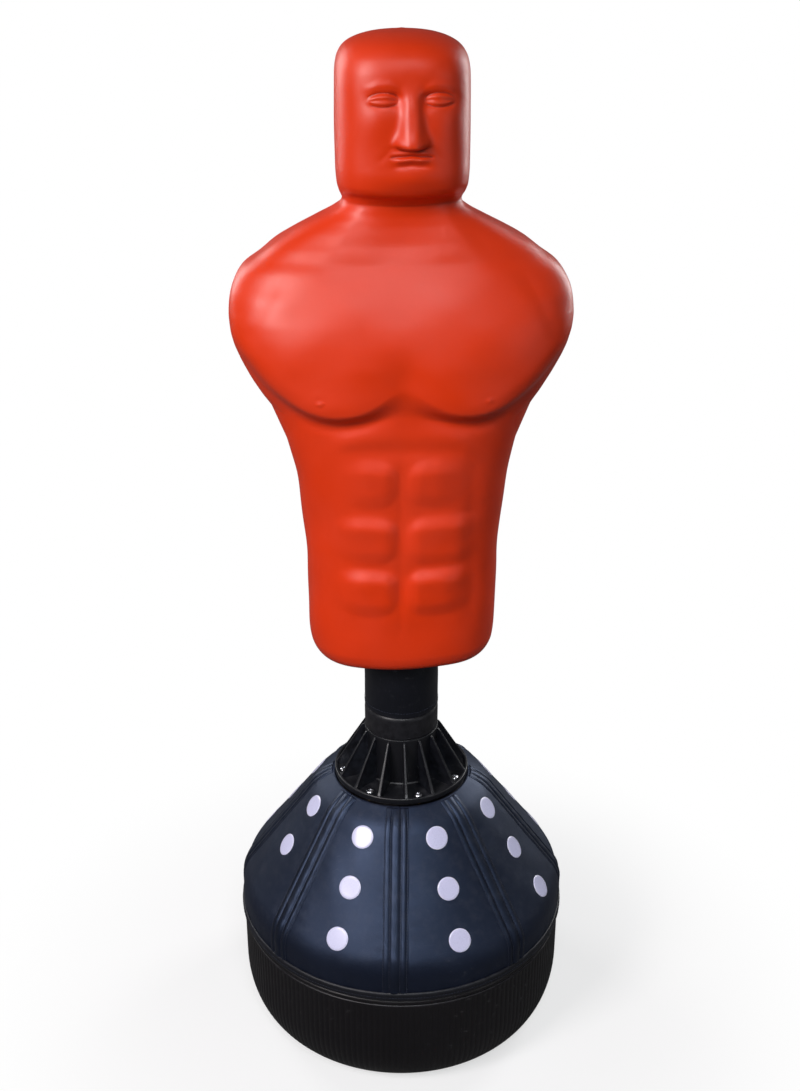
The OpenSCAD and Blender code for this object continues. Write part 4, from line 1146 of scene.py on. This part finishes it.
hemSettings = {
    "section": [(0.2822, 0.2026), (0.2858, 0.2022), (0.2872, 0.2036), (0.2878, 0.2065), (0.2872, 0.2098),
                (0.2879, 0.2135), (0.2874, 0.2166), (0.2862, 0.2182), (0.2846, 0.2188), (0.2836, 0.2180),
                (0.2830, 0.2100)],
    "sides": 360, "outside": 0.2855, "stitchR": 0.2874, "stitchZ": 0.2098, "spacing": 0.0052, "seed": 5,
}


def makeHem(s):
    t = np.linspace(0, 2 * np.pi, s["sides"], endpoint=False)
    pucker = 0.00022 * np.sin(t * 172) + 0.00016 * np.sin(t * 61 + 1.0)
    rows = []
    for r, z in s["section"]:
        live = 1.0 if r > s["outside"] else 0.0
        rad = r + pucker * live
        rows.append(ringRow(rad, t, z + 0.3 * pucker * live))
    faces = gridFaces(len(rows), s["sides"]).tolist() + closeGrid(len(rows), s["sides"])
    return meshObject("coverHem", np.array(rows).reshape(-1, 3), faces)


def roundRun(radius, z, steps=720):
    # a closed run of stitches round the upright axis, leaning straight outwards
    turns = np.linspace(0, 2 * np.pi, steps, endpoint=False)
    return ringRow(radius, turns, z), ringRow(1.0, turns, 0.0), True


dress(makeHem(hemSettings), "hemBinding", "base", "hem_binding", "cover_hem")
stitchRuns("hemStitches", [roundRun(hemSettings["stitchR"], hemSettings["stitchZ"])], hemSettings["spacing"],
           hemSettings["seed"], "base", "hem_binding", wide=0.0010)
print("seams, hem and stitches made")


# reflective dots, pressed onto the panels

dotSettings = {
    "radius": 0.019, "thick": 0.0006, "rings": 7, "sides": 56, "pitch": 0.084, "rows": 3,
    "missing": [(5, 1), (7, 2)],      # (panel, row): under the filler cap, and one that is lost
}


def makeDots(s):
    points, faces = [], []
    radius, thick, rings, sides = s["radius"], s["thick"], s["rings"], s["sides"]
    # each ring's radius and its height off the panel: flat inside, rounded over the rim, tucked in at last
    steps = [(radius * k / rings, thick) for k in range(1, rings)]
    steps += [(radius * 0.985, thick * 0.75), (radius, thick * 0.2), (radius, -0.0004)]
    middle = alongCone(base["coneMiddle"])
    for panel in range(base["panels"]):
        for row in range(s["rows"]):
            if (panel + 1, row) in s["missing"]:
                continue
            bearing = base["firstSeam"] + (panel + 0.5) * 360 / base["panels"]
            centre = middle - (row - 1) * s["pitch"]
            at = Vector(onCover(centre, np.array([bearing]), 0.0)[0])
            out = Vector(coverNormal(centre, np.array([bearing]))[0])
            side = Vector((math.cos(math.radians(bearing)), math.sin(math.radians(bearing)), 0))
            up = out.cross(side)

            def pressed(start, lift):
                hit = coverTree.ray_cast(start + out * 0.02, -out, 0.05)[0]
                return (hit if hit else start) + out * lift

            first = len(points)
            for r, lift in steps:
                for a in (2 * math.pi * j / sides for j in range(sides)):
                    points.append(pressed(at + side * (r * math.cos(a)) + up * (r * math.sin(a)), lift))
            points.append(pressed(at, thick))
            for k in range(len(steps) - 1):
                for j in range(sides):
                    a, b = first + k * sides + j, first + k * sides + (j + 1) % sides
                    faces.append((a, a + sides, b + sides, b))
            faces += [(len(points) - 1, first + j, first + (j + 1) % sides) for j in range(sides)]
            low = first + (len(steps) - 1) * sides
            faces.append([low + j for j in range(sides)][::-1])
    return faceOutwards(meshObject("reflectiveDots", [tuple(p) for p in points], faces))


dress(makeDots(dotSettings), "reflectiveFilm", "base", "reflective_film", "reflective_dots")
print("dots made")


# tank: plain body under the cover, and a fluted band that shows

tankSettings = {"sides": 192, "flutes": 180, "perFlute": 6, "depth": 0.0013}


def makeTank(s):
    b = base
    edge = [(b["band"] - 0.004 - b["edgeIn"] + b["edgeIn"] * math.sin(a),
             b["foot"] + b["edgeRise"] * (1 - math.cos(a)))
            for a in np.linspace(0, math.pi / 2, 12)]
    profile = [(0.06, b["foot"]), (0.15, b["foot"])] + edge
    profile += [(0.2800, 0.190), (0.2846, 0.1935), (0.2850, 0.1965), (0.2838, 0.1995), (0.2795, 0.2015)]
    for at in np.linspace(0.03, coverLength - 0.004, 14):
        point = onCover(at, np.array([90.0]), -0.0052)[0]
        profile.append((point[0], point[2]))
    profile += [(0.1100, 0.4605), (0.05, 0.4605)]
    return meshObject("tankBody", *lathe(rounded(profile, 0.003, 2), s["sides"], True, True))


def makeFlutedBand(s):
    # ribs run down the wall and fade out round the bottom edge
    b = base
    cols = s["flutes"] * s["perFlute"]
    t = np.linspace(0, 2 * np.pi, cols, endpoint=False)
    wave = np.abs(np.sin(t * s["flutes"] / 2)) ** 0.55
    outer, depth = [], []
    for a in np.linspace(0.42, math.pi / 2, 14):
        outer.append((b["band"] - b["edgeIn"] + b["edgeIn"] * math.sin(a),
                      b["foot"] + b["edgeRise"] * (1 - math.cos(a))))
        depth.append(float(step(0.50, 0.72, a)))
    for z in (0.115, 0.135, 0.155, 0.170, 0.180, 0.1855, 0.1885):
        outer.append((b["band"], z))
        depth.append(1.0 if z < 0.183 else (0.7 if z < 0.187 else 0.0))
    outer.append((b["band"] - 0.0008, 0.1902))
    depth.append(0.0)
    rows = []
    for (r, z), d in zip(outer, depth):
        rad = r - s["depth"] * d * (1 - wave)
        rows.append(ringRow(rad, t, z))
    inner = [(b["band"] - 0.0045, 0.1900), (b["band"] - 0.0065, 0.110), (outer[0][0] - 0.0050, outer[0][1] + 0.003)]
    rows += [ringRow(r, t, z) for r, z in inner]
    faces = gridFaces(len(rows), cols).tolist() + closeGrid(len(rows), cols)
    return meshObject("flutedBand", np.array(rows).reshape(-1, 3), faces)


dress(makeTank(tankSettings), "tankPlastic", "base", "tank_plastic", "base_tank")
dress(makeFlutedBand(tankSettings), "tankPlastic", "base", "tank_plastic")
print("tank made")


# collar: ring, neck and fins, with its screws

collarSettings = {
    "sides": 160, "fins": 15, "finThickness": 0.0052, "finBevel": 0.0014, "bevelFrom": 0.0640,
    "low": 0.4685, "rimR": 0.1160, "rimTop": 0.4793, "neckTop": 0.560,
    "finOutline": [(0.0615, 0.4700), (0.1122, 0.4700), (0.1138, 0.4795), (0.1105, 0.4835), (0.0700, 0.5505),
                   (0.0668, 0.5550), (0.0640, 0.5565), (0.0615, 0.5565)],
    "screws": 8, "screwSides": 36, "screwR": 0.101, "screwZ": 0.4745, "firstScrew": 12.0, "screwStep": 24.0,
}


def makeCollarRing(s):
    profile = [(0.0580, s["low"]), (0.1090, s["low"]), (0.1090, s["low"] + 0.0015), (s["rimR"], s["low"] + 0.0015),
               (s["rimR"], 0.4778), (0.1146, s["rimTop"]), (0.1112, s["rimTop"]), (0.1096, 0.4752),
               (0.1080, 0.4745), (0.0660, 0.4747), (0.0634, 0.4772), (0.0630, 0.5450), (0.0634, 0.5570),
               (0.0628, s["neckTop"]), (0.0600, s["neckTop"]), (0.0580, 0.5580), (0.0580, s["low"])]
    return meshObject("collarRing", *lathe(rounded(profile, 0.0009, 3), s["sides"]))


def makeFin(s):
    # one tapered rib standing at the front, edges rounded over
    shape = bmesh.new()
    outline = s["finOutline"]
    rings = []
    for side in (-1, 1):
        ring = []
        for r, z in outline:
            thin = 1.0 - 0.30 * float(step(0.47, 0.556, z)) + 0.12 * float(step(0.10, 0.115, r))
            ring.append(shape.verts.new((side * s["finThickness"] / 2 * thin, -r, z)))
        rings.append(ring)
    shape.faces.new(rings[0][::-1])
    shape.faces.new(rings[1])
    n = len(outline)
    for k in range(n):
        shape.faces.new((rings[0][k], rings[0][(k + 1) % n], rings[1][(k + 1) % n], rings[1][k]))
    bmesh.ops.recalc_face_normals(shape, faces=shape.faces)
    edges = [e for e in shape.edges if min(v.co.y for v in e.verts) < -s["bevelFrom"]]
    bmesh.ops.bevel(shape, geom=edges, offset=s["finBevel"], segments=3, profile=0.6, affect="EDGES")
    return objectFromShape("fin", shape)


def makeScrew(s):
    # pan head with a six-sided socket, standing at the front
    profile = [(0.0030, -0.0140), (0.0030, 0.0), (0.0071, 0.0), (0.0073, 0.0008), (0.0068, 0.0021), (0.0057, 0.0032),
               (0.0042, 0.0039), (0.0026, 0.0042), (0.0022, 0.0041), (0.0021, 0.0037), (0.0020, 0.0024),
               (0.0010, 0.0022)]
    points, faces = lathe(profile, s["screwSides"], True, True)
    turned = np.arctan2(points[:, 0], -points[:, 1])
    r = np.hypot(points[:, 0], points[:, 1])
    hex6 = math.cos(math.pi / 6) / np.cos((turned % (math.pi / 3)) - math.pi / 6)
    socket = (r > 0.0005) & (r < 0.00222) & (points[:, 2] > 0.0012)
    scale = np.where(socket, hex6, 1.0)
    points[:, 0] *= scale
    points[:, 1] *= scale
    points += np.array([0, -s["screwR"], s["screwZ"]])
    return meshObject("screw", points, faces)


dress(makeCollarRing(collarSettings), "collarPlastic", "base", "collar_plastic", "collar")
collarFins = copiesRound("collarFins", makeFin(collarSettings), finishes["collarPlastic"],
                         collarSettings["fins"], 0.0, 360 / collarSettings["fins"])
dress(collarFins, "collarPlastic", "base", "collar_plastic")
collarFins.data.polygons.foreach_set("use_smooth", [False] * len(collarFins.data.polygons))
# one screw in every second gap between fins, and two in gaps side by side, as fifteen is odd
collarScrews = copiesRound("collarScrews", makeScrew(collarSettings), finishes["screwChrome"],
                           collarSettings["screws"], collarSettings["firstScrew"], collarSettings["screwStep"],
                           collarSettings["fins"] / collarSettings["screws"])
dress(collarScrews, "screwChrome", "base", "screw_chrome", "collar_screws")
print("collar made")


# neck boot with its ball seat, and the padded column that sways over it

columnSettings = {
    "pivot": 0.560, "seat": 0.07306, "gap": 0.0016,      # the ball seat the sleeve glides over
    "bootWall": 0.005, "bootSides": 128, "radius": 0.0622, "top": 0.880, "postR": 0.0305,
    "hollow": 0.0568,     # room for the spring inside the foot of the column
    "cols": 112, "rows": 84, "fill": 0.9, "tacks": 40, "tackSeed": 23,
    "hemRow": 0.0105, "seamRow": 0.0052, "spacing": 0.0048, "stitchSeed": 3,
    "cloth": {"pressure": 2.5, "frames": 12, "cap": 0.0009, "stretch": 25.0, "bend": 0.8},
}


def makeBoot(s):
    ball = [(s["seat"] * math.cos(a), s["pivot"] + s["seat"] * math.sin(a))
            for a in np.radians(np.linspace(31.5, 50.5, 12))]
    within = s["seat"] - s["bootWall"]
    inner = [(within * math.cos(a), s["pivot"] + within * math.sin(a)) for a in np.radians(np.linspace(49, 36, 8))]
    profile = [(0.0560, 0.5450), (0.0600, 0.5590), (0.0615, 0.5604), (0.0624, 0.5625), (0.0626, 0.5940)]
    profile += ball + [(0.0455, 0.6130)] + inner + [(0.0530, 0.5600), (0.0530, 0.5450), (0.0560, 0.5450)]
    return meshObject("neckBoot", *lathe(profile, s["bootSides"]))


def makeSleeve(s):
    # outer wall from the hem over the ball seat up into the torso
    cols, rows = s["cols"], s["rows"]
    seatZ = lambda r: s["pivot"] + math.sqrt((s["seat"] + s["gap"]) ** 2 - r ** 2)
    low = seatZ(s["radius"]) + 0.0004
    t = np.linspace(0, 2 * np.pi, cols, endpoint=False)
    rise = np.linspace(0, 1, rows)
    z = low + 0.0022 + (s["top"] - 0.004 - low - 0.0022) * rise
    grid = np.array([ringRow(s["radius"], t, height) for height in z])
    cloth = meshObject("columnCloth", grid.reshape(-1, 3), gridFaces(rows, cols).tolist())
    back = cols // 2
    rng = np.random.default_rng(s["tackSeed"])
    # held at both ends, along the seam at the back and at a few tacks, so shallow folds form
    pinned = [i * cols + j for i in (0, 1, 2, rows - 2, rows - 1) for j in range(cols)]
    pinned += [i * cols + j for i in range(rows) for j in (back - 1, back, back + 1)]
    tacks = zip(rng.integers(6, rows - 6, s["tacks"]), rng.integers(0, cols, s["tacks"]))
    pinned += [int(i) * cols + int(j) for i, j in tacks]
    inflate(cloth, sorted(set(pinned)), s["cloth"])
    grid = np.array([v.co for v in cloth.data.vertices]).reshape(rows, cols, 3)
    bpy.data.objects.remove(cloth)
    rad = np.hypot(grid[..., 0], grid[..., 1])
    up, fromBack = grid[..., 2], np.abs(t - np.pi)[None, :]
    folds = 0.00035 * np.sin(up * 95 + 1.1 * np.sin(t * 2 + 0.5)[None, :]) * np.sin(t * 3 + up * 18)
    seam = 0.0006 * bell(fromBack, 0.085, 0.035) - 0.0011 * bell(fromBack, 0.0, 0.035)
    hem = 0.0005 * bell(z, low + 0.005, 0.0035) - 0.0006 * bell(z, low + s["hemRow"], 0.0012)
    scale = (rad + folds + seam + hem[:, None]) / rad
    grid[..., :2] *= scale[..., None]
    lining = s["radius"] - 0.0022
    under = [(s["hollow"], seatZ(s["hollow"])), (lining, seatZ(lining) + 0.0001),
             (s["radius"] - 0.0008, low + 0.0003), (s["radius"] - 0.0001, low + 0.0010)]
    over = [(s["radius"] - 0.0016, s["top"] - 0.0012), (s["radius"] - 0.005, s["top"]), (0.045, s["top"]),
            (s["postR"], s["top"]), (s["postR"], s["top"] - 0.02), (0.0450, 0.74), (s["hollow"], 0.70),
            (s["hollow"], seatZ(s["hollow"]) + 0.004)]
    full = np.array([ringRow(r, t, zz) for r, zz in under] + list(grid) + [ringRow(r, t, zz) for r, zz in over])
    faces = gridFaces(len(full), cols).tolist() + closeGrid(len(full), cols)
    return meshObject("columnSleeve", full.reshape(-1, 3), faces), low


dress(makeBoot(columnSettings), "bootRubber", "base", "boot_rubber", "neck_boot")
columnSleeve, sleeveLow = makeSleeve(columnSettings)
dress(columnSleeve, "sleeveLeather", "post", "column_leatherette", "column_sleeve", "column_foam")


def sleeveRuns(s, low):
    # a row round the lower hem, and one on each side of the seam at the back
    radius = s["radius"] + 0.0002
    runs = [roundRun(radius, low + s["hemRow"])]
    heights = np.linspace(low + 0.014, s["top"] - 0.01, 60)
    for u in (-s["seamRow"], s["seamRow"]):
        a = math.pi + u / radius
        line = [((radius + 0.0003) * math.sin(a), -(radius + 0.0003) * math.cos(a), z) for z in heights]
        runs.append((line, [(math.sin(a), -math.cos(a), 0)] * len(heights), False))
    return runs


stitchRuns("sleeveStitches", sleeveRuns(columnSettings, sleeveLow), columnSettings["spacing"],
           columnSettings["stitchSeed"], "post", "column_leatherette", length=0.0032, wide=0.0009, high=0.0007)
print("boot and column made")


# filler at the back: neck, bound hole and ribbed cap

fillerSettings = {
    "neck": 0.024, "hole": 0.019, "rise": 0.014, "sides": 72,
    "capR": 0.031, "capLow": 0.007, "capTop": 0.021, "capSides": 96, "ribs": 24, "ribWidth": 0.0034,
}


def placeAtFiller(piece):
    piece.data.transform(Matrix.Translation(fillerPlace) @ fillerTurn.to_4x4())
    return piece


def makeFillerNeck(s):
    profile = [(0.0200, -0.012), (s["neck"], -0.012), (s["neck"], s["rise"]), (s["neck"] - 0.0006, s["rise"]),
               (s["hole"], s["rise"]), (s["hole"], -0.010), (0.008, -0.0105)]
    return placeAtFiller(meshObject("fillerNeck", *lathe(rounded(profile, 0.0006, 2), s["sides"], True, True)))


def makeFillerWelt(s):
    # bound edge of the hole in the panel
    ring = [(0.0270 + 0.0030 * math.cos(a), 0.0044 + 0.0021 * math.sin(a))
            for a in np.linspace(0, 2 * math.pi, 13)]
    return placeAtFiller(meshObject("fillerWelt", *lathe(ring, s["sides"])))


def makeCapShell(s):
    rim = s["capR"] - 0.0016
    profile = [(s["neck"] + 0.0006, s["capLow"] + 0.0008), (rim - 0.001, s["capLow"]), (rim, s["capLow"] + 0.0012),
               (rim, s["capTop"] - 0.0022), (rim - 0.0018, s["capTop"]), (0.0150, s["capTop"] + 0.0003),
               (0.0138, s["capTop"] - 0.0006), (0.0050, s["capTop"] - 0.0007)]
    inner = [(s["neck"] + 0.0006, 0.0161), (0.0040, 0.0161)]
    points, faces = lathe(rounded(profile, 0.0007, 3), s["capSides"], False, True)
    cup, cupFaces = lathe(inner[::-1] + [profile[0]], s["capSides"], True, False)
    offset = len(points)
    faces = list(faces) + [tuple(offset + k for k in f)[::-1] for f in cupFaces]
    return faceOutwards(meshObject("capShell", np.vstack([points, cup]), faces), mergeWithin=1e-6)


def makeCapRib(s):
    # one grip rib, standing at the front of the cap
    shape = bmesh.new()
    bmesh.ops.create_cube(shape, size=1.0)
    for v in shape.verts:
        v.co = Vector((v.co.x * s["ribWidth"], -(s["capR"] - 0.0014) + v.co.y * 0.0022,
                       (s["capLow"] + s["capTop"]) / 2 - 0.0003 + v.co.z * (s["capTop"] - s["capLow"] - 0.0030)))
    bmesh.ops.bevel(shape, geom=shape.edges[:], offset=0.0008, segments=2, affect="EDGES")
    return objectFromShape("capRib", shape)


dress(makeFillerNeck(fillerSettings), "tankPlastic", "base", "tank_plastic")
dress(makeFillerWelt(fillerSettings), "seamLeather", "base", "seam_leatherette")
dress(placeAtFiller(makeCapShell(fillerSettings)), "innerPlastic", "cap", "cap_plastic", "filler_cap")
capRibs = copiesRound("capRibs", makeCapRib(fillerSettings), finishes["innerPlastic"],
                      fillerSettings["ribs"], 0.0, 360 / fillerSettings["ribs"])
dress(placeAtFiller(capRibs), "innerPlastic", "cap", "cap_plastic")
print("filler made")


# what keeps its own CAD shape gets its finish here

nodeFinishes = {
    "sand_ballast": "drySand", "suction_cups": "cupRubber", "collar_gasket": "sealRubber",
    "threaded_inserts": "insertBrass", "lower_spring_socket": "zincSteel", "socket_bolts": "zincSteel",
    "socket_nuts": "zincSteel", "main_spring": "springSteel", "upper_spring_socket": "zincSteel",
    "post_cross_bolts": "zincSteel", "post_tube": "postSteel", "post_cap": "innerPlastic",
    "height_pin": "zincSteel", "pin_ring": "zincSteel", "torso_core": "innerPlastic",
    "core_plug": "innerPlastic", "lower_bush": "bushNylon", "upper_bush": "bushNylon",
    "torso_base_plate": "innerPlastic", "plate_screws": "zincSteel", "filler_seal": "sealRubber",
}
for node, finish in nodeFinishes.items():
    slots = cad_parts[node].material_slots
    if not slots:
        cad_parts[node].data.materials.append(finishes[finish])
    for place in slots:
        place.material = finishes[finish]
print("CAD nodes dressed:", len(nodeFinishes))


# pale floor

def makeFloor(half=40.0, near=0.34, far=0.85, lift=0.62):
    # a pale sweep: close by it is partly a lit floor that takes the soft shadow and partly glowing painted light that
    # makes that shadow paler; further out it is all glow and runs into the pale backdrop
    floor = meshObject("floor", [(-half, -half, 0), (half, -half, 0), (half, half, 0), (-half, half, 0)],
                       [(0, 1, 2, 3)], smooth=False)
    pale = bpy.data.materials.new("paleFloor")
    pale.use_nodes = True
    tree = pale.node_tree
    nodes = tree.nodes
    shader = nodes["Principled BSDF"]
    shader.inputs["Base Color"].default_value = (0.93, 0.93, 0.93, 1)
    shader.inputs["Roughness"].default_value = 0.7
    shader.inputs["Specular IOR Level"].default_value = 0.1
    glow = addNode(tree, "ShaderNodeEmission", {"Color": (1, 1, 1, 1)})
    dim = addNode(tree, "ShaderNodeBsdfDiffuse", {"Color": (0.13, 0.13, 0.13, 1)})
    split = addNode(tree, "ShaderNodeSeparateXYZ", {0: objectCoords(tree)}).outputs
    away = mathNode(tree, "SQRT", mathNode(tree, "ADD", mathNode(tree, "POWER", split[0], 2.0),
                                           mathNode(tree, "POWER", split[1], 2.0)))
    # painted light: the floor glows, by the lift share near the base and fully far away, which pales its shadow
    sweep = addNode(tree, "ShaderNodeMixShader", {
        0: rangeNode(tree, away, near, far, lift, 1.0), 1: shader.outputs[0], 2: glow.outputs[0]})
    # the eye sees the sweep; light that bounces meets a dimmer floor
    path = addNode(tree, "ShaderNodeLightPath").outputs["Is Camera Ray"]
    seen = addNode(tree, "ShaderNodeMixShader", {0: path, 1: dim.outputs[0], 2: sweep.outputs[0]})
    feed(tree, nodes["Material Output"].inputs["Surface"], seen.outputs[0])
    floor.data.materials.append(pale)


makeFloor()
